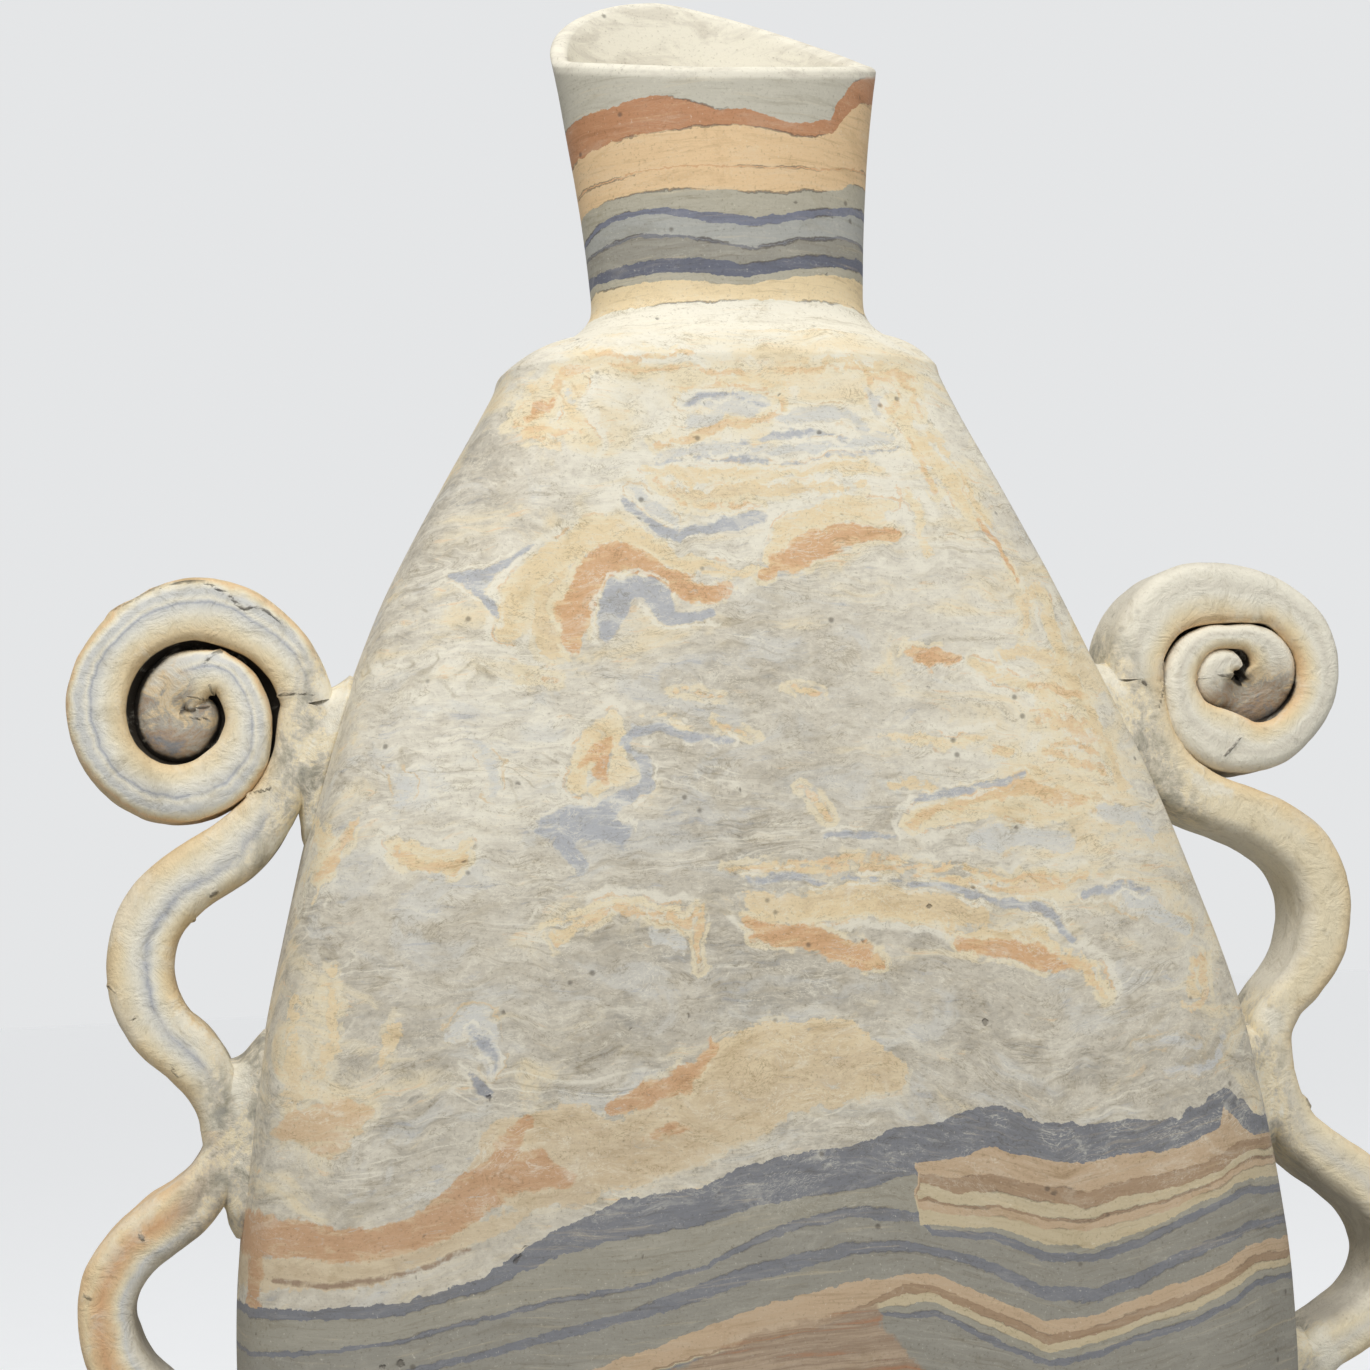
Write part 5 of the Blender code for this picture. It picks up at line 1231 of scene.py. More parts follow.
def left_handle() -> ScrollHandle:
    """The left handle, with a wide strap that rolls up two turns."""
    upper = (
        (-93.3, 235.4, 10.4), (-94.1, 232.8, 10.1), (-96.0, 224.6, 9.2), (-100.9, 214.7, 10.2), (-108.4, 206.3, 12.7),
        (-118.4, 200.0, 12.8), (-124.0, 195.4, 13.2), (-127.5, 190.3, 13.0), (-129.0, 184.0, 12.9),
        (-128.7, 176.7, 13.0), (-124.9, 168.7, 12.5), (-119.4, 163.4, 12.1), (-115.5, 157.8, 10.4),
        (-113.2, 149.9, 8.6), (-113.1, 148.0, 8.4),
    )
    lower = (
        (-113.1, 148.2, 8.3), (-112.9, 144.0, 8.0), (-115.4, 138.1, 8.9), (-120.0, 132.9, 10.8),
        (-126.9, 128.2, 11.3), (-132.5, 123.6, 11.0), (-135.9, 118.7, 11.4), (-137.3, 113.9, 10.9),
        (-137.3, 109.1, 10.6), (-136.1, 103.9, 11.0), (-133.0, 98.5, 10.8), (-127.2, 92.8, 10.4),
        (-121.8, 87.6, 9.4), (-119.2, 83.5, 8.6), (-118.9, 78.2, 8.2),
    )
    line = tuple((x, z) for x, z, _ in (*upper, *lower))
    return ScrollHandle(
        label="left", side=-1, centre=(-118.7, 235.5),
        turns=((0, 30.6, 10.4), (20, 29.6, 10.9), (38, 28.7, 11.6), (52, 28.3, 12.4), (68, 27.9, 13.0),
               (84, 27.3, 12.7), (104, 25.6, 11.8), (123, 24.7, 11.5), (147, 24.1, 11.4), (171, 24.1, 11.6),
               (189, 23.9, 11.3), (207, 23.8, 10.9), (224, 23.9, 10.8), (241, 23.9, 10.8), (263, 23.7, 11.2),
               (282, 23.0, 11.5), (298, 22.3, 11.6), (315, 21.0, 11.0), (331, 19.1, 9.8), (349, 17.7, 9.0),
               (365, 16.7, 8.8), (380, 15.8, 8.4), (398, 14.7, 7.8, 0.1), (412, 13.8, 8.6, 0.4), (426, 12.8, 9.8, 0.9),
               (453, 12.1, 12.3, 1.8), (480, 11.2, 11.6, 2.5), (507, 10.6, 11.0, 3.0), (540, 10.5, 10.9, 3.4),
               (563, 11.0, 11.4, 3.5), (581, 11.5, 11.9, 3.5), (600, 11.7, 12.0, 3.4), (619, 11.4, 11.7, 3.2),
               (635, 10.7, 10.9, 3.0), (658, 9.1, 9.0, 2.8), (684, 8.0, 7.6, 2.7), (708, 7.1, 6.4, 2.7),
               (731, 6.2, 5.0, 2.8), (752, 5.2, 4.0, 3.0)),
        upper=upper, lower=lower,
        pads=(
            Pad("left_upper_pad", -1, 241.5, 205.0, ((-93.5, 244.0), *line[:5]), top_dip=2.5, bottom_dip=9.0),
            Pad("left_middle_pad", -1, 168.5, 124.5, line[9:21], top_dip=7.0, bottom_dip=8.0),
            Pad("left_lower_pad", -1, 95.0, 78.0, line[-6:], top_dip=4.0, bottom_dip=0.5),
        ),
        stripes=(
            ((-1.0, Tone.TAN), (-0.8, Tone.STRAW), (-0.5, Tone.CREAM), (-0.2, Tone.MILK), (0.08, Tone.MIST),
             (0.15, Tone.BLUE), (0.22, Tone.MIST), (0.3, Tone.MILK), (0.46, Tone.MIST), (0.6, Tone.MIST),
             (0.7, Tone.MILK), (0.8, Tone.CREAM), (0.92, Tone.PEACH), (1.0, Tone.TAN)),
            ((-1.0, Tone.TAN), (-0.75, Tone.STRAW), (-0.5, Tone.CREAM), (-0.2, Tone.MILK), (0.05, Tone.MIST),
             (0.2, Tone.BLUE), (0.32, Tone.MIST), (0.45, Tone.MILK), (0.65, Tone.CREAM), (0.85, Tone.STRAW),
             (1.0, Tone.TAN)),
            ((-1.0, Tone.PEACH), (-0.75, Tone.STRAW), (-0.55, Tone.PEACH), (-0.25, Tone.TERRACOTTA), (0.1, Tone.PEACH),
             (0.35, Tone.CREAM), (0.55, Tone.MIST), (0.8, Tone.SHELL), (1.0, Tone.STONE)),
        ),
    )


def right_handle() -> ScrollHandle:
    """The right handle, with a broad first turn and a small tight curl inside it."""
    upper = (
        (89.6, 235.9, 10.8), (90.0, 233.4, 11.0), (92.3, 223.1, 10.7), (97.0, 214.2, 12.0), (105.1, 209.0, 11.0),
        (113.7, 205.6, 11.0), (121.7, 201.4, 11.4), (128.0, 195.4, 11.4), (130.8, 187.9, 10.9),
        (130.7, 181.0, 10.5), (128.7, 174.2, 10.3), (124.5, 168.1, 9.3), (119.0, 162.6, 8.6),
        (116.2, 157.4, 8.8), (116.6, 149.1, 7.6), (116.7, 147.8, 7.6),
    )
    lower = (
        (116.7, 148.0, 7.6), (118.1, 141.9, 7.6), (121.1, 134.6, 9.4), (126.8, 129.3, 10.4), (133.4, 124.5, 10.6),
        (139.1, 119.1, 10.6), (142.2, 113.3, 10.2), (142.9, 106.5, 10.0), (141.0, 100.3, 10.0), (136.4, 95.0, 10.0),
        (129.8, 90.8, 9.8), (123.4, 87.2, 9.2), (119.8, 83.2, 8.6), (118.9, 77.5, 8.2),
    )
    line = tuple((x, z) for x, z, _ in (*upper, *lower))
    return ScrollHandle(
        label="right", side=1, centre=(113.3, 235.9),
        turns=((0, 29.2, 10.8), (22, 29.8, 12.0), (45, 29.4, 13.0), (62, 28.2, 13.6), (78, 26.4, 13.2),
               (101, 25.1, 12.1), (123, 24.8, 10.2), (143, 25.2, 10.4), (160, 24.8, 9.6), (180, 23.9, 9.0),
               (198, 22.9, 8.4), (218, 21.8, 8.5), (238, 21.6, 9.3), (258, 21.2, 10.4), (276, 21.0, 12.2),
               (295, 20.9, 12.6), (310, 20.5, 11.6), (325, 19.6, 10.0), (340, 18.2, 8.2), (358, 17.4, 7.2),
               (376, 16.4, 6.8), (395, 15.2, 6.2), (414, 13.6, 5.3), (443, 11.7, 4.7), (473, 12.8, 6.3, 0.3),
               (497, 14.0, 8.6, 0.6), (522, 14.6, 10.6, 1.2), (540, 14.4, 11.6, 2.0), (565, 13.6, 11.8, 3.4),
               (585, 12.6, 11.6, 4.4), (609, 11.6, 11.2, 5.0), (624, 9.7, 9.4, 4.8), (642, 8.2, 7.9, 4.2),
               (662, 7.9, 7.6, 3.2), (690, 8.9, 8.5, 1.8), (720, 9.8, 9.2, 1.0), (745, 9.4, 8.6, 0.6),
               (770, 7.9, 6.8, 0.6), (800, 6.1, 5.0, 0.9), (828, 4.6, 3.8, 1.4)),
        upper=upper, lower=lower,
        pads=(
            Pad("right_upper_pad", 1, 243.0, 203.0, ((88.5, 246.0), *line[:6]), top_dip=2.5, bottom_dip=9.0),
            Pad("right_middle_pad", 1, 166.0, 124.5, line[11:21], top_dip=7.0, bottom_dip=8.0),
            Pad("right_lower_pad", 1, 94.5, 77.5, line[-6:], top_dip=4.0, bottom_dip=0.5),
        ),
        stripes=(
            ((-1.0, Tone.PEACH), (-0.75, Tone.STRAW), (-0.5, Tone.CREAM), (-0.1, Tone.MILK), (0.2, Tone.SHELL),
             (0.5, Tone.MILK), (0.75, Tone.MILK), (1.0, Tone.SHELL)),
            ((-1.0, Tone.TAN), (-0.7, Tone.STRAW), (-0.2, Tone.CREAM), (0.5, Tone.CREAM), (1.0, Tone.SHELL)),
            ((-1.0, Tone.STRAW), (-0.6, Tone.CREAM), (0.0, Tone.SHELL), (0.5, Tone.CREAM), (1.0, Tone.STONE)),
        ),
    )


class Tree:
    """Short ways to add and join the nodes of one material or group."""

    def __init__(self, tree: bpy.types.NodeTree) -> None:
        """Keep the node tree that the nodes go into."""
        self.tree = tree

    def add(self, kind: str, **settings: object) -> bpy.types.Node:
        """Add a node of a kind, with its settings by name."""
        node = self.tree.nodes.new(kind)
        for name, value in settings.items():
            setattr(node, name, value)
        return node

    def put(self, socket: Socket, value: object) -> None:
        """Join an output to an input, or set the input's own value or tone."""
        if isinstance(value, Socket):
            self.tree.links.new(value, socket)
        elif value is not None:
            socket.default_value = value.linear if isinstance(value, Tone) else value

    def fill(self, node: bpy.types.Node, **values: object) -> bpy.types.Node:
        """Give a node's named inputs their values, with a space for each underscore."""
        for name, value in values.items():
            self.put(node.inputs[name.replace("_", " ").title()], value)
        return node

    def math(self, operation: str, *values: object, clamp: bool = False) -> Socket:
        """Work out one number from others."""
        node = self.add("ShaderNodeMath", operation=operation, use_clamp=clamp)
        for socket, value in zip(node.inputs, values):
            self.put(socket, value)
        return node.outputs[0]

    def times(self, *values: object) -> Socket:
        """Multiply two or more numbers."""
        return functools.reduce(lambda first, second: self.math("MULTIPLY", first, second), values)

    def swing(self, value: object) -> Socket:
        """How far a number lies above a half, which is the middle of a noise."""
        return self.math("SUBTRACT", value, 0.5)

    def about(self, value: object, weight: float, rest: object) -> Socket:
        """Add a weighted share of a number's swing to the rest."""
        return self.math("MULTIPLY_ADD", self.swing(value), weight, rest)

    def fringe(self, value: object, lines: float) -> Socket:
        """Turn a noise into many lines: 0 in the middle of each, a half between two."""
        return self.math("ABSOLUTE", self.swing(self.math("FRACT", self.times(value, lines))))

    def ease(self, value: object, low: float, high: float, start: float = 0.0,
             end: float = 1.0) -> Socket:
        """Ease a number from start at low to end at high."""
        node = self.add("ShaderNodeMapRange", interpolation_type="SMOOTHSTEP")
        self.fill(node, value=value, from_min=low, from_max=high, to_min=start, to_max=end)
        return node.outputs["Result"]

    def mix(self, share: object, first: object, second: object, blend: str = "MIX") -> Socket:
        """Mix two colours."""
        node = self.add("ShaderNodeMix", data_type="RGBA", blend_type=blend)
        for index, value in ((0, share), (6, first), (7, second)):
            self.put(node.inputs[index], value)
        return node.outputs[2]

    def tint(self, colour: object, *steps: tuple) -> Socket:
        """Mix tones into a colour, one after the other.

        Args:
            colour: The colour to start from.
            steps: Each a number, where it gives nothing and where the full share, that share, a tone and,
                where it isn't MIX, the way to blend.

        Returns:
            The tinted colour.
        """
        for value, low, high, share, *tone in steps:
            colour = self.mix(self.ease(value, low, high, 0.0, share), colour, *tone)
        return colour

    def noise(self, vector: object, scale: float, detail: float = 2.0, roughness: float = 0.5,
              distortion: float = 0.0) -> Socket:
        """Read smooth noise, from 0 to 1 and near a half on average."""
        node = self.add("ShaderNodeTexNoise")
        self.fill(node, vector=vector, scale=scale, detail=detail, roughness=roughness, distortion=distortion)
        return node.outputs["Fac"]

    def mottle(self, place: object, stretch: tuple[float, float, float], detail: float, roughness: float,
               distortion: float = 0.0, shift: tuple[float, float, float] = (0, 0, 0)) -> Socket:
        """Read smooth noise that is drawn out along the axes.

        Args:
            place: Place on the object.
            stretch: Lumps to the metre along each axis.
            detail: How many finer noises ride on it.
            roughness: How strong they are.
            distortion: How far it is folded.
            shift: Shift that gives it a pattern of its own.

        Returns:
            The noise, from 0 to 1.
        """
        node = self.fill(self.add("ShaderNodeMapping"), vector=place, scale=stretch, location=shift)
        return self.noise(node.outputs[0], 1.0, detail, roughness, distortion)

    def attribute(self, name: str) -> Socket:
        """Read one of the piece's own values."""
        return self.add("ShaderNodeAttribute", attribute_name=name).outputs["Fac"]

    def place(self) -> Socket:
        """Read the place on the object, in metres."""
        return self.add("ShaderNodeTexCoord").outputs["Object"]

    def parts(self, vector: object) -> bpy.types.bpy_prop_collection:
        """Part a place into its x, y and z."""
        return self.fill(self.add("ShaderNodeSeparateXYZ"), vector=vector).outputs

    def ramp(self, value: object, stops: list[tuple[float, Tone]], crisp: bool = False) -> Socket:
        """Turn a number into a colour.

        Args:
            value: The number, from 0 to 1.
            stops: Places and tones in rising order.
            crisp: Whether each tone holds until the next stop.

        Returns:
            The colour.
        """
        node = self.add("ShaderNodeValToRGB")
        ramp = node.color_ramp
        ramp.interpolation = "CONSTANT" if crisp else "LINEAR"
        while len(ramp.elements) < len(stops):
            ramp.elements.new(1.0)
        for element, (place, tone) in zip(ramp.elements, stops):
            element.position = place
            element.color = tone.linear
        self.put(node.inputs[0], value)
        return node.outputs[0]

    def group(self, tree: bpy.types.NodeTree, **values: object) -> bpy.types.Node:
        """Place a node group and give its inputs their values."""
        return self.fill(self.add("ShaderNodeGroup", node_tree=tree), **values)


class Effects:
    """Node groups that several clays share, each made once."""

    made: dict[str, bpy.types.NodeTree] = {}

    @classmethod
    def start(cls, name: str, inputs: dict[str, object],
              outputs: tuple[str, ...]) -> tuple[Tree, bpy.types.bpy_prop_collection, bpy.types.Node]:
        """Start a group with named sockets.

        Args:
            name: Name of the group.
            inputs: Each input's name, with its first value; None stands for a place.
            outputs: The names of its outputs, all numbers.

        Returns:
            The group's tree, its inputs by name and its output node.
        """
        tree = bpy.data.node_groups.new(name, "ShaderNodeTree")
        for label, value in inputs.items():
            kind = "NodeSocketVector" if value is None else "NodeSocketFloat"
            socket = tree.interface.new_socket(label, in_out="INPUT", socket_type=kind)
            if value is not None:
                socket.default_value = value
        for label in outputs:
            tree.interface.new_socket(label, in_out="OUTPUT", socket_type="NodeSocketFloat")
        cls.made[name] = tree
        shape = Tree(tree)
        return shape, shape.add("NodeGroupInput").outputs, shape.add("NodeGroupOutput")

    @classmethod
    def clay_edge(cls) -> bpy.types.NodeTree:
        """Ragged but crisp edge of one clay against another, from a distance in millimetres."""
        if "clay_edge" not in cls.made:
            tree, given, result = cls.start(
                "clay_edge", {"Distance": 0.0, "Wander": 0.0, "Reach": 1.0, "Softness": 0.2}, ("Mask",))
            moved = tree.math("MULTIPLY_ADD", given["Wander"], given["Reach"], given["Distance"])
            soft = tree.math("DIVIDE", moved, given["Softness"])
            tree.fill(result, mask=tree.math("SUBTRACT", 0.5, soft, clamp=True))
        return cls.made["clay_edge"]

    @classmethod
    def fired_grain(cls) -> bpy.types.NodeTree:
        """Grain of fired clay: fine specks, small pits and faint scraping, with their height."""
        if "fired_grain" not in cls.made:
            tree, given, result = cls.start(
                "fired_grain", {"Vector": None, "Coarseness": 1.0}, ("Specks", "Pits", "Height"))
            scaled = tree.add("ShaderNodeVectorMath", operation="SCALE")
            tree.put(scaled.inputs[0], given["Vector"])
            tree.fill(scaled, scale=tree.math("DIVIDE", 1.0, given["Coarseness"]))
            place = scaled.outputs[0]
            specks = tree.noise(place, 1500.0, 3.0, 0.7)
            cells = tree.fill(tree.add("ShaderNodeTexVoronoi", feature="F1"), vector=place, scale=190.0)
            some = tree.math("GREATER_THAN", tree.noise(place, 95.0, 1.0), 0.6)
            pits = tree.times(tree.ease(cells.outputs["Distance"], 0.16, 0.05), some)
            scrape = tree.mottle(place, (260, 700, 1500), 2, 0.6)
            low = tree.math("MULTIPLY_ADD", specks, 0.5, tree.times(scrape, 0.6))
            tree.fill(result, specks=specks, pits=pits, height=tree.math("SUBTRACT", low, pits))
        return cls.made["fired_grain"]

    @classmethod
    def edge(cls, tree: Tree, name: str, wander: object, reach: float, softness: float) -> Socket:
        """Mask of the clay that lies inside one of the piece's own distances.

        Args:
            tree: Tree that takes the mask.
            name: Name of the distance.
            wander: Raggedness of the edge, near zero on average.
            reach: How far the raggedness moves the edge, in millimetres.
            softness: Width of the edge in millimetres.

        Returns:
            The mask.
        """
        return tree.group(cls.clay_edge(), distance=tree.attribute(name), wander=wander, reach=reach,
                          softness=softness).outputs[0]


@dataclass(frozen=True)
class Finish:
    """A finish of the vase's clay."""

    name: str
    roughness: float = 0.62
    depth: float = 0.00012

    def start(self) -> tuple[bpy.types.Material, Tree, bpy.types.Node]:
        """Start the material.

        Returns:
            The material, its tree and its shader.
        """
        material = bpy.data.materials.new(self.name)
        material.use_nodes = True
        shader = material.node_tree.nodes["Principled BSDF"]
        shader.inputs["IOR"].default_value = 1.45
        return material, Tree(material.node_tree), shader

    def end(self, tree: Tree, shader: bpy.types.Node, colour: object, height: object, dry: object) -> None:
        """Join colour, roughness and relief to the shader.

        Args:
            tree: The material's tree.
            shader: Its shader.
            colour: Colour of the surface.
            height: Height of the relief, where 1 measures the finish's depth in metres.
            dry: Value from 0 to 1 that makes the surface less smooth.
        """
        bump = tree.fill(tree.add("ShaderNodeBump"), height=height, distance=self.depth, strength=1.0)
        tree.fill(shader, base_color=colour, normal=bump.outputs["Normal"],
                  roughness=tree.math("MULTIPLY_ADD", dry, 0.3, self.roughness - 0.12))


@dataclass(frozen=True)
class Reading:
    """What the marbled clay reads: a place, the place with its height along the layers, and two noises there."""

    tree: Tree
    place: Socket
    flow: Socket
    wander: Socket
    streak: Socket


@dataclass(frozen=True)
class MarbledClay(Finish):
    """Scraped and burnished clay of several colours, folded together in layers."""

    depth: float = 0.00007

    def material(self) -> bpy.types.Material:
        """Make the material.

        Returns:
            The material.
        """
        material, tree, shader = self.start()
        place = tree.place()
        x, y, z = tree.parts(place)
        flow = tree.fill(tree.add("ShaderNodeCombineXYZ"), x=x, y=y, z=tree.times(tree.attribute("lie"), MM)).outputs[0]
        wander = tree.swing(tree.noise(place, 400.0, 4.0, 0.62, 0.3))
        streak = tree.mottle(flow, (60, 60, 460), 5, 0.62, 0.9)
        at = Reading(tree, place, flow, wander, streak)
        colour = self.layers(at, self.patches(at, self.ground(at), tree.ease(z, 0.172, 0.138)))
        lined = tree.times(tree.ease(z, 0.118, 0.146, 0.12, 1.0), tree.ease(z, 0.324, 0.318, 0.2, 1.0))
        colour = self.creases(at, colour, lined)
        chalk = tree.mottle(place, (60, 60, 150), 6, 0.7, 0.8)
        plain_clay = tree.ramp(chalk, [(0.30, Tone.PUTTY), (0.42, Tone.SHELL), (0.52, Tone.MILK)])
        grain = tree.group(Effects.fired_grain(), vector=place).outputs
        colour = tree.tint(
            tree.mix(tree.attribute("bare"), colour, plain_clay), (grain["Specks"], 0.38, 0.24, 0.42, Tone.MILK),
            (grain["Specks"], 0.55, 0.76, 0.55, Tone.ASH, "MULTIPLY"))
        pit = tree.ease(tree.math("MULTIPLY_ADD", wander, 1.2, tree.attribute("pit")), 0.25, -0.1)
        # Pits are darkened with painted shade as well as sunk in the relief
        hollow = tree.math("MAXIMUM", grain["Pits"], pit)
        colour = tree.mix(tree.times(hollow, 0.6), colour, Tone.SHADOW)
        self.end(tree, shader, colour, tree.math("SUBTRACT", grain["Height"], tree.times(pit, 4.0)), streak)
        return material

    def ground(self, at: Reading) -> Socket:
        """Mottled ground of grey and putty clays, with dashes and thin broken lines along its folds.

        Args:
            at: What the clay reads.

        Returns:
            The ground's colour.
        """
        tree, flow = at.tree, at.flow
        cloud = tree.mottle(flow, (62, 62, 125), 7, 0.68, 0.9)
        fleck = tree.mottle(at.place, (380, 380, 620), 3, 0.7, 0.5)
        dash = tree.mottle(flow, (105, 105, 700), 4, 0.62, 0.8, (5, 2, 1))
        dashed = tree.ease(tree.mottle(flow, (17, 17, 34), 3, 0.6, shift=(2, 6, 4)), 0.44, 0.62)
        value = tree.about(cloud, 0.95, tree.math("MULTIPLY_ADD", tree.attribute("light"), 0.34, 0.40))
        value = tree.about(at.streak, 0.35, tree.about(fleck, 0.75, value))
        value = tree.math("ADD", value, tree.times(dashed, tree.about(dash, 1.3, 0.0)))
        stops = [(0.0, Tone.ASH), (0.24, Tone.STONE), (0.45, Tone.PUTTY), (0.66, Tone.SHELL), (0.9, Tone.MILK)]
        warmth = tree.mottle(flow, (30, 30, 66), 6, 0.64, 1.4, (3, 1, 2))
        warmth = tree.math("MULTIPLY_ADD", tree.attribute("warm"), 0.13, warmth)
        colour = tree.tint(tree.ramp(value, stops), (warmth, 0.52, 0.66, 0.65, Tone.CREAM),
                           (warmth, 0.60, 0.74, 0.55, Tone.STRAW), (warmth, 0.46, 0.36, 0.5, Tone.MIST))
        sandy = tree.times(tree.ease(dash, 0.58, 0.70), tree.ease(warmth, 0.48, 0.60), 0.65)
        cool = tree.times(tree.ease(dash, 0.42, 0.32), tree.ease(warmth, 0.50, 0.42), 0.5)
        colour = tree.mix(cool, tree.mix(sandy, colour, Tone.PEACH), Tone.BLUE)
        across = tree.fringe(tree.mottle(flow, (8, 8, 30), 4, 0.5, 1.2, (1, 4, 2)), 17.0)
        broken = tree.ease(tree.mottle(flow, (34, 34, 90), 4, 0.62), 0.51, 0.62)
        dark = tree.times(tree.ease(across, 0.12, 0.02), broken, 0.45)
        light = tree.times(tree.ease(across, 0.40, 0.48), broken, 0.55)
        return tree.mix(light, tree.mix(dark, colour, Tone.STONE, "MULTIPLY"), Tone.MILK)

    def patches(self, at: Reading, colour: Socket, low: Socket) -> Socket:
        """Lay the placed patches of warm and cool clay over the ground, some with a broken outline.

        Args:
            at: What the clay reads.
            colour: Colour under the patches.
            low: Share of the greyer clays of the belly.

        Returns:
            The colour with the patches.
        """
        tree, place = at.tree, at.place
        ragged = tree.about(at.streak, 0.55, at.wander)
        belly = tree.mix(low, (1.0, 1.0, 1.0, 1.0), (0.84, 0.85, 0.92, 1.0))
        high = tree.math("MULTIPLY_ADD", low, -0.85, 1.0)
        some = tree.mottle(place, (95, 95, 130), 3, 0.6)
        torn = tree.mottle(place, (110, 110, 400), 6, 0.7, 1.2, (4, 4, 1))

        def blend(name: str, first: Tone, second: Tone, start: float, end: float) -> Socket:
            """Blend of two tones, with more of the second inside a patch, greyer on the belly."""
            inside = tree.math("MAXIMUM", tree.math("MINIMUM", tree.attribute(name), 1.0), -2.4)
            deep = tree.math("MULTIPLY_ADD", inside, -0.055, torn)
            return tree.mix(1.0, tree.mix(tree.ease(deep, start, end), first, second), belly, "MULTIPLY")

        def laid(name: str, tone: object, share: float, reach: float = 3.4) -> None:
            """Lay a clay over its patches, thin where it is torn."""
            nonlocal colour
            mask = Effects.edge(tree, name, ragged, reach, 0.45)
            colour = tree.mix(tree.times(mask, tree.ease(torn, 0.58, 0.70, share, share * 0.2)), colour, tone)

        def outlined(name: str, tone: Tone, out: float, width: float, share: float, start: float) -> None:
            """Draw a broken line along the edge of a clay's patches."""
            nonlocal colour
            moved = tree.math("MULTIPLY_ADD", ragged, 3.4, tree.attribute(name))
            off = tree.math("ABSOLUTE", tree.math("SUBTRACT", moved, out))
            broken = tree.times(tree.ease(some, start, start + 0.08, 0.0, share), high)
            colour = tree.mix(tree.times(tree.ease(off, width, width * 0.35), broken), colour, tone)

        outlined("cream", Tone.MILK, 1.6, 1.4, 0.7, 0.42)
        outlined("cream", Tone.PEACH, 0.55, 0.40, 0.75, 0.52)
        laid("cream", blend("cream", Tone.CREAM, Tone.STRAW, 0.44, 0.62), 0.94, 4.2)
        outlined("tan", Tone.CREAM, 0.8, 0.9, 0.6, 0.47)
        laid("tan", blend("tan", Tone.STRAW, Tone.TAN, 0.50, 0.72), 0.86, 5.0)
        outlined("peach", Tone.CREAM, 0.9, 1.0, 0.8, 0.43)
        laid("peach", blend("peach", Tone.STRAW, Tone.PEACH, 0.42, 0.60), 0.90, 4.0)
        outlined("terracotta", Tone.CREAM, 0.6, 0.8, 0.8, 0.45)
        laid("terracotta", blend("terracotta", Tone.PEACH, Tone.TERRACOTTA, 0.44, 0.58), 0.96)
        laid("brown", tree.mix(1.0, Tone.BROWN, belly, "MULTIPLY"), 0.9, 1.6)
        outlined("pale", Tone.TAN, 0.9, 0.35, 0.7, 0.50)
        laid("pale", blend("pale", Tone.SHELL, Tone.MIST, 0.42, 0.58), 0.85, 4.2)
        outlined("blue", Tone.MILK, 0.75, 0.55, 0.75, 0.45)
        laid("blue", tree.mix(low, blend("blue", Tone.MIST, Tone.BLUE, 0.36, 0.54), Tone.SLATE), 0.92, 2.3)
        return colour

    def layers(self, at: Reading, colour: Socket) -> Socket:
        """Lay the stacked layers of the belly and the neck over the rest, with thin dark seams between them.

        Args:
            at: What the clay reads.
            colour: Colour under the layers.

        Returns:
            The colour with the layers.
        """
        tree, flow, streak = at.tree, at.flow, at.streak
        rough = tree.about(streak, 0.7, tree.times(at.wander, 1.3))
        smear = tree.mottle(flow, (42, 42, 900), 5, 0.66, 0.5, (2, 3, 7))
        gap = tree.ease(tree.mottle(flow, (48, 48, 260), 3, 0.6, shift=(6, 1, 3)), 0.48, 0.58)
        half_seam = 0.17
        for stack in STACKS:
            steep = tree.attribute(stack.name + "_steep")
            moved = tree.math("MULTIPLY_ADD", rough, steep, tree.attribute(stack.name))
            places = stack.marks[:0:-1]
            worn = tree.tint(
                tree.ramp(moved, list(zip(places, stack.tones)), crisp=True),
                (streak, 0.52, 0.72, 0.14, Tone.SHELL), (streak, 0.46, 0.30, 0.30, Tone.STONE, "MULTIPLY"),
                (smear, 0.56, 0.74, 0.26, Tone.STRAW), (smear, 0.44, 0.32, 0.36, Tone.STONE, "MULTIPLY"))
            turns = list(zip(places, itertools.cycle((Tone.SHADOW, Tone.MILK))))
            above, under = (tree.ramp(tree.math("MULTIPLY_ADD", steep, side, moved), turns, crisp=True)
                            for side in (half_seam, -half_seam))
            line = tree.math("GREATER_THAN", tree.math("ABSOLUTE", tree.math("SUBTRACT", above, under)), 0.1)
            worn = tree.mix(tree.times(line, gap, stack.seam), worn, Tone.SHADOW)
            inside = tree.times(tree.math("GREATER_THAN", moved, 0.0), tree.math("LESS_THAN", moved, 1.0),
                                tree.math("GREATER_THAN", steep, 0.003))
            colour = tree.mix(inside, colour, worn)
        umber = tree.ramp(smear, [(0.34, Tone.NECK_BRICK), (0.46, Tone.BROWN), (0.60, Tone.BELLY_TAN)])
        umber = tree.mix(1.0, umber, (0.86, 0.86, 0.90, 1.0), "MULTIPLY")
        return tree.mix(tree.times(Effects.edge(tree, "umber", at.wander, 4.0, 0.8), 0.85), colour, umber)

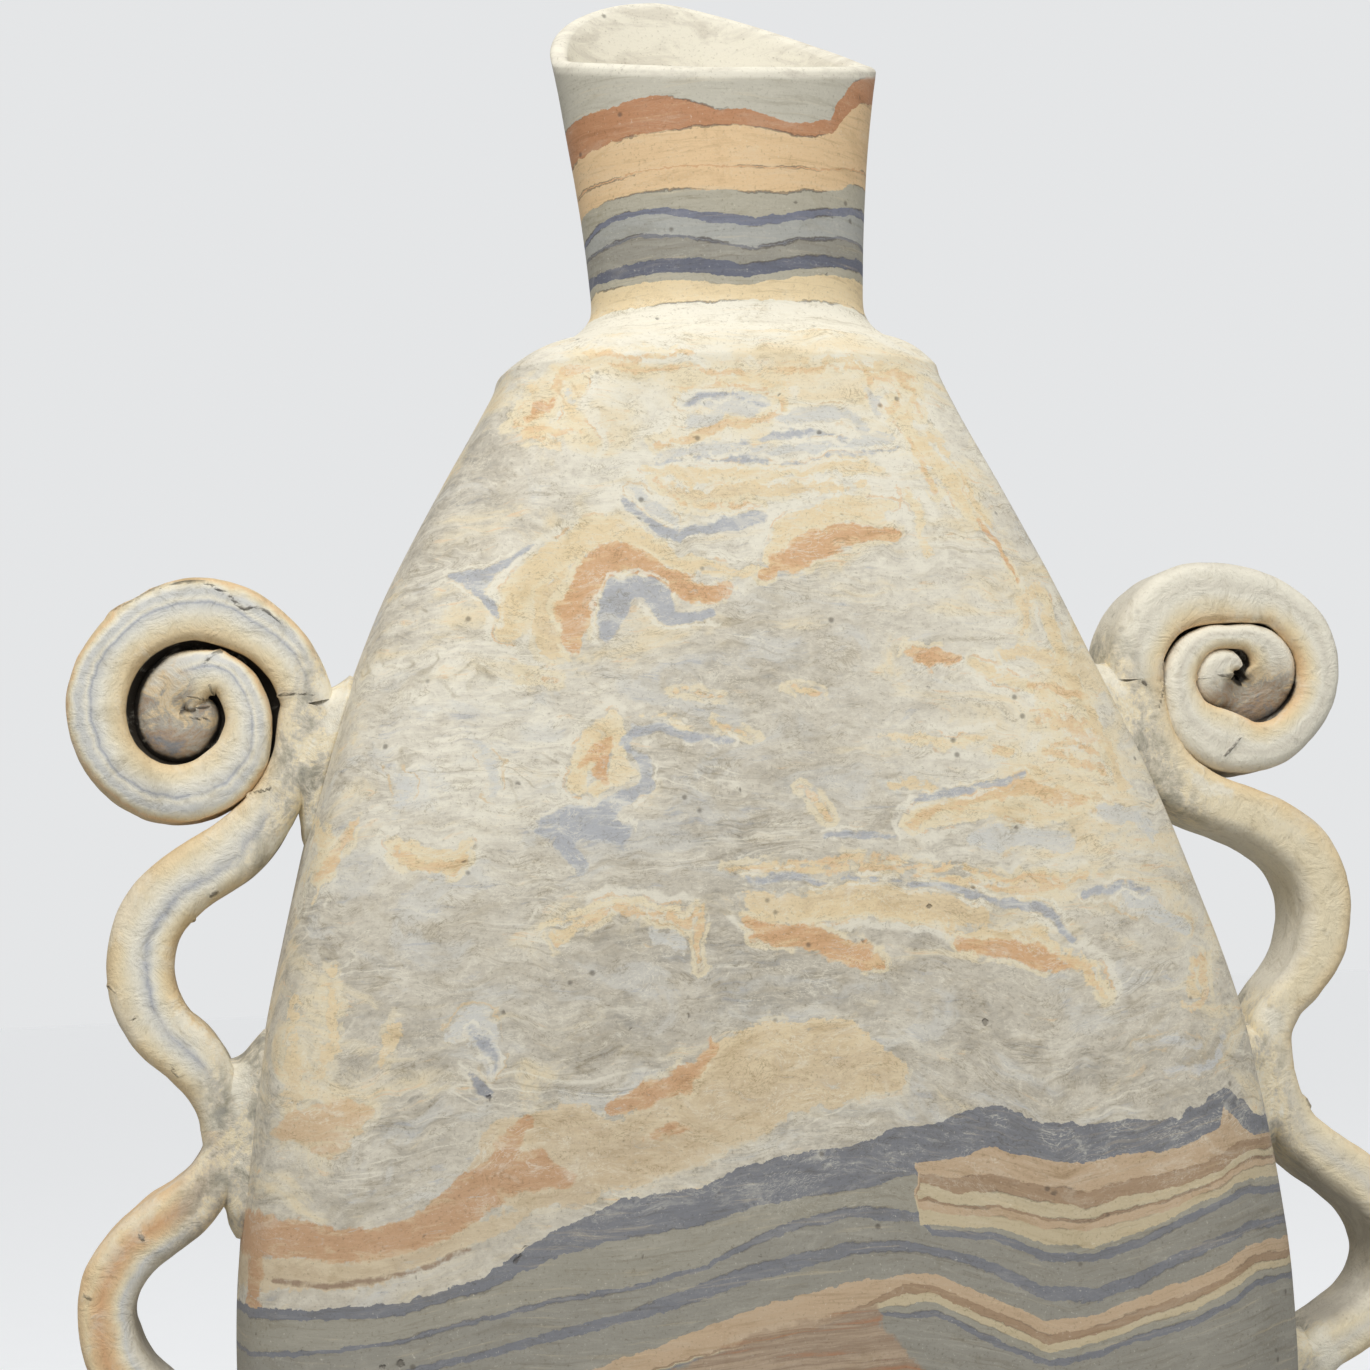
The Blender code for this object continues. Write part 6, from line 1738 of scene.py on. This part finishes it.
    def creases(self, at: Reading, colour: Socket, share: Socket) -> Socket:
        """Draw the fine short lines, dark and light, that folding and scraping leave in all the clays.

        Args:
            at: What the clay reads.
            colour: Colour under the lines.
            share: How strongly the lines show.

        Returns:
            The colour with the lines.
        """
        tree, flow = at.tree, at.flow
        part = tree.mottle(flow, (110, 110, 260), 4, 0.64, shift=(1, 8, 2))
        cloud = tree.mottle(flow, (85, 85, 170), 6, 0.7, 1.0, (4, 1, 8))
        colour = tree.tint(colour, (cloud, 0.48, 0.32, 0.32, Tone.PUTTY, "MULTIPLY"))
        colour = tree.mix(tree.times(tree.ease(cloud, 0.53, 0.68, 0.0, 0.40), share), colour, Tone.MILK)
        for stretch, lines, depth in (((46, 46, 130), 12.0, 0.5), ((120, 120, 230), 9.0, 0.42)):
            across = tree.fringe(tree.mottle(flow, stretch, 5, 0.6, 1.8, (9, 3, 5)), lines)
            dark = tree.times(tree.ease(across, 0.14, 0.02), tree.ease(part, 0.48, 0.60, 0.0, depth), share)
            light = tree.times(tree.ease(across, 0.37, 0.48), tree.ease(part, 0.52, 0.40, 0.0, depth - 0.06), share)
            colour = tree.mix(light, tree.mix(dark, colour, Tone.STONE, "MULTIPLY"), Tone.MILK)
        return colour


@dataclass(frozen=True)
class HandleClay(Finish):
    """Clay of the handles: its stripes run along the strap, from one edge (-1) to the other (1)."""

    stripes: tuple[tuple[float, Tone], ...] = ()
    heart_height: float = 0.2335

    def material(self) -> bpy.types.Material:
        """Make the material.

        Returns:
            The material.
        """
        material, tree, shader = self.start()
        place = tree.place()
        wander = tree.swing(tree.noise(place, 60.0, 4.0, 0.5, 0.3))
        fine = tree.swing(tree.noise(place, 420.0, 4.0, 0.65))
        across = tree.math("MULTIPLY_ADD", wander, 0.8, tree.attribute("across"))
        across = tree.math("MULTIPLY_ADD", fine, 0.22, across)
        stops = [((edge + 1) / 2, tone) for edge, tone in self.stripes]
        striped = tree.ramp(tree.math("MULTIPLY_ADD", across, 0.5, 0.5), stops)
        blotch = tree.noise(place, 52.0, 6.0, 0.66, 0.5)
        colour = tree.tint(striped, (blotch, 0.50, 0.66, 0.45, Tone.MILK),
                           (blotch, 0.46, 0.32, 0.35, Tone.STONE, "MULTIPLY"))
        # Colour of a scroll's sunk core: its mottled clay with painted shade, darkest below the scroll's middle and
        # palest above it
        above_heart = tree.math("SUBTRACT", tree.parts(place)[2], self.heart_height)
        curl = tree.math("MULTIPLY_ADD", above_heart, 20.0, tree.mottle(place, (150, 150, 190), 5, 0.66, 0.8))
        core_clay_with_painted_shade = tree.ramp(curl, [(0.30, Tone.SLATE), (0.42, Tone.BROWN), (0.52, Tone.ASH), (0.60, Tone.TAN),
                                  (0.74, Tone.SHELL)])
        colour = tree.mix(tree.times(tree.attribute("core"), 0.9), colour, core_clay_with_painted_shade)
        near = tree.math("MULTIPLY_ADD", wander, 9.0, tree.attribute("away"))
        # Painted shade, nearly black, deep in the gaps of the scroll
        gap_shade_mask = tree.math("MULTIPLY_ADD", fine, 0.5, tree.attribute("gap_shade_mask"))
        colour = tree.tint(colour, (near, 15.0, 6.0, 0.92, self.smeared(tree, place, fine)),
                           (gap_shade_mask, 0.15, 0.7, 0.97, Tone.PAINTED_GAP_SHADE))
        self.dress(tree, shader, colour, place, fine)
        return material

    def smeared(self, tree: Tree, place: object, fine: object) -> Socket:
        """Colour of clay smeared on with a finger.

        Args:
            tree: The material's tree.
            place: Place on the object.
            fine: Small unevenness, near zero on average.

        Returns:
            The colour.
        """
        value = tree.math("MULTIPLY_ADD", fine, 0.5, tree.mottle(place, (70, 70, 42), 6, 0.68, 0.9))
        return tree.ramp(value, [(0.34, Tone.BELLY_GREY), (0.43, Tone.NECK_OLIVE), (0.50, Tone.PUTTY),
                                 (0.58, Tone.CREAM), (0.68, Tone.MILK)])

    def dress(self, tree: Tree, shader: bpy.types.Node, colour: object, place: object, fine: object) -> None:
        """Add slip, cracks, grain and relief to a handle's clay, with painted shade darkening its cracks and pits.

        Args:
            tree: The material's tree.
            shader: Its shader.
            colour: Colour of the clay.
            place: Place on the object.
            fine: Small unevenness, near zero on average.
        """
        slip = Effects.edge(tree, "slip", fine, 7.0, 1.6)
        crack = Effects.edge(tree, "crack", fine, 0.7, 0.3)
        grain = tree.group(Effects.fired_grain(), vector=place, coarseness=1.3).outputs
        colour = tree.mix(tree.times(slip, 0.8), colour, Tone.MILK)
        colour = tree.tint(colour, (grain["Specks"], 0.54, 0.76, 0.35, Tone.ASH, "MULTIPLY"))
        # Cracks and pits are darkened with painted shade as well as sunk in the relief
        hollow = tree.math("MAXIMUM", crack, tree.times(grain["Pits"], 0.3))
        colour = tree.mix(tree.times(hollow, 0.75), colour, Tone.SHADOW)
        dragged = tree.noise(place, 150.0, 6.0, 0.68, 0.8)
        colour = tree.tint(colour, (dragged, 0.46, 0.30, 0.4, Tone.STONE, "MULTIPLY"),
                           (dragged, 0.56, 0.70, 0.35, Tone.MILK))
        height = tree.math("MULTIPLY_ADD", dragged, 7.0, grain["Height"])
        self.end(tree, shader, colour, tree.math("SUBTRACT", height, tree.times(crack, 3.0)), dragged)


@dataclass(frozen=True)
class SmearedClay(HandleClay):
    """Soft clay pressed in with a finger where the handles meet the wall, without stripes."""

    def material(self) -> bpy.types.Material:
        """Make the material.

        Returns:
            The material.
        """
        material, tree, shader = self.start()
        place = tree.place()
        fine = tree.swing(tree.noise(place, 420.0, 4.0, 0.65))
        self.dress(tree, shader, self.smeared(tree, place, fine), place, fine)
        return material


@dataclass
class Studio:
    """Pale floor, soft lamps and the camera."""

    lens: float = 68.0
    camera_at: tuple[float, float, float] = (-0.10918, -0.55593, 0.18094)
    turn: float = 10.0
    pitch: float = 5.8
    roll: float = 2.5
    pale: tuple[float, float, float, float] = (0.78, 0.79, 0.80, 1.0)
    glow: float = 0.72
    even_light: float = 0.27

    def build(self) -> None:
        """Set up the floor, the world, the lamps, the camera and the view."""
        self.add_floor()
        self.add_world()
        self.add_lamp("key", (-0.26, -0.74, 1.14), 0.7, 10.2)
        self.add_lamp("fill", (0.75, -0.70, 0.95), 0.9, 2.0)
        self.add_camera()
        bpy.context.scene.view_settings.view_transform = "Standard"

    def add_floor(self) -> None:
        """Add the round floor, pale in the camera's view and true to shadow."""
        bm = bmesh.new()
        bmesh.ops.create_circle(bm, cap_ends=True, segments=96, radius=9.0)
        mesh = bpy.data.meshes.new("floor")
        bm.to_mesh(mesh)
        bm.free()
        floor = bpy.data.objects.new("floor", mesh)
        bpy.context.scene.collection.objects.link(floor)
        material = bpy.data.materials.new("pale_floor")
        material.use_nodes = True
        tree = Tree(material.node_tree)
        shader = material.node_tree.nodes["Principled BSDF"]
        grain = tree.noise(tree.place(), 60.0, 4.0, 0.6)
        seen = tree.add("ShaderNodeLightPath").outputs["Is Camera Ray"]
        tree.fill(shader, base_color=tree.mix(grain, (0.44, 0.45, 0.46, 1.0), (0.50, 0.51, 0.52, 1.0)), roughness=0.8,
                  emission_color=self.pale, emission_strength=tree.times(seen, self.glow))
        mesh.materials.append(material)

    def add_world(self) -> None:
        """Light the scene evenly from all round, and show a pale backdrop behind the vase."""
        world = bpy.data.worlds.new("studio")
        bpy.context.scene.world = world
        world.use_nodes = True
        tree = Tree(world.node_tree)
        fill = world.node_tree.nodes["Background"]
        fill.inputs["Color"].default_value = (1.0, 1.0, 1.0, 1.0)
        fill.inputs["Strength"].default_value = self.even_light
        shown = tree.fill(tree.add("ShaderNodeBackground"), color=self.pale)
        rays = tree.add("ShaderNodeLightPath").outputs
        seen = tree.math("MAXIMUM", rays["Is Camera Ray"],
                         tree.math("MAXIMUM", rays["Is Glossy Ray"], rays["Is Transmission Ray"]))
        blend = tree.add("ShaderNodeMixShader")
        for socket, value in zip(blend.inputs, (seen, fill.outputs[0], shown.outputs[0])):
            tree.put(socket, value)
        tree.put(world.node_tree.nodes["World Output"].inputs["Surface"], blend.outputs[0])

    def add_lamp(self, name: str, place: tuple[float, float, float], size: float, power: float) -> None:
        """Add a square soft lamp that faces the vase.

        Args:
            name: Name of the lamp.
            place: Where it hangs.
            size: Its side.
            power: Its power in watts.
        """
        light = bpy.data.lights.new(name, "AREA")
        light.size = size
        light.energy = power
        lamp = bpy.data.objects.new(name, light)
        aim = Vector((0.0, 0.0, 0.24)) - Vector(place)
        lamp.matrix_world = Matrix.Translation(place) @ aim.to_track_quat("-Z", "Y").to_matrix().to_4x4()
        bpy.context.scene.collection.objects.link(lamp)

    def add_camera(self) -> None:
        """Add the camera at the photograph's viewing angle."""
        turn, pitch, roll = map(math.radians, (self.turn, self.pitch, self.roll))
        ahead = Vector((math.sin(turn) * math.cos(pitch), math.cos(turn) * math.cos(pitch), math.sin(pitch)))
        level = Vector((math.cos(turn), -math.sin(turn), 0.0))
        upright = level.cross(ahead)
        right = level * math.cos(roll) - upright * math.sin(roll)
        up = level * math.sin(roll) + upright * math.cos(roll)
        data = bpy.data.cameras.new("camera")
        data.lens = self.lens
        data.sensor_width = 36.0
        camera = bpy.data.objects.new("camera", data)
        axes = Matrix((right, up, -ahead)).transposed().to_4x4()
        camera.matrix_world = Matrix.Translation(self.camera_at) @ axes
        bpy.context.scene.collection.objects.link(camera)
        bpy.context.scene.camera = camera


def main() -> None:
    """Build the vase over its solids and light it."""
    logging.basicConfig(level=logging.INFO, format="%(name)s: %(message)s")
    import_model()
    vessel = Vessel()
    vessel.build()
    for handle in (left_handle(), right_handle()):
        handle.build(vessel)
    Studio().build()


if __name__ == "__main__":
    main()
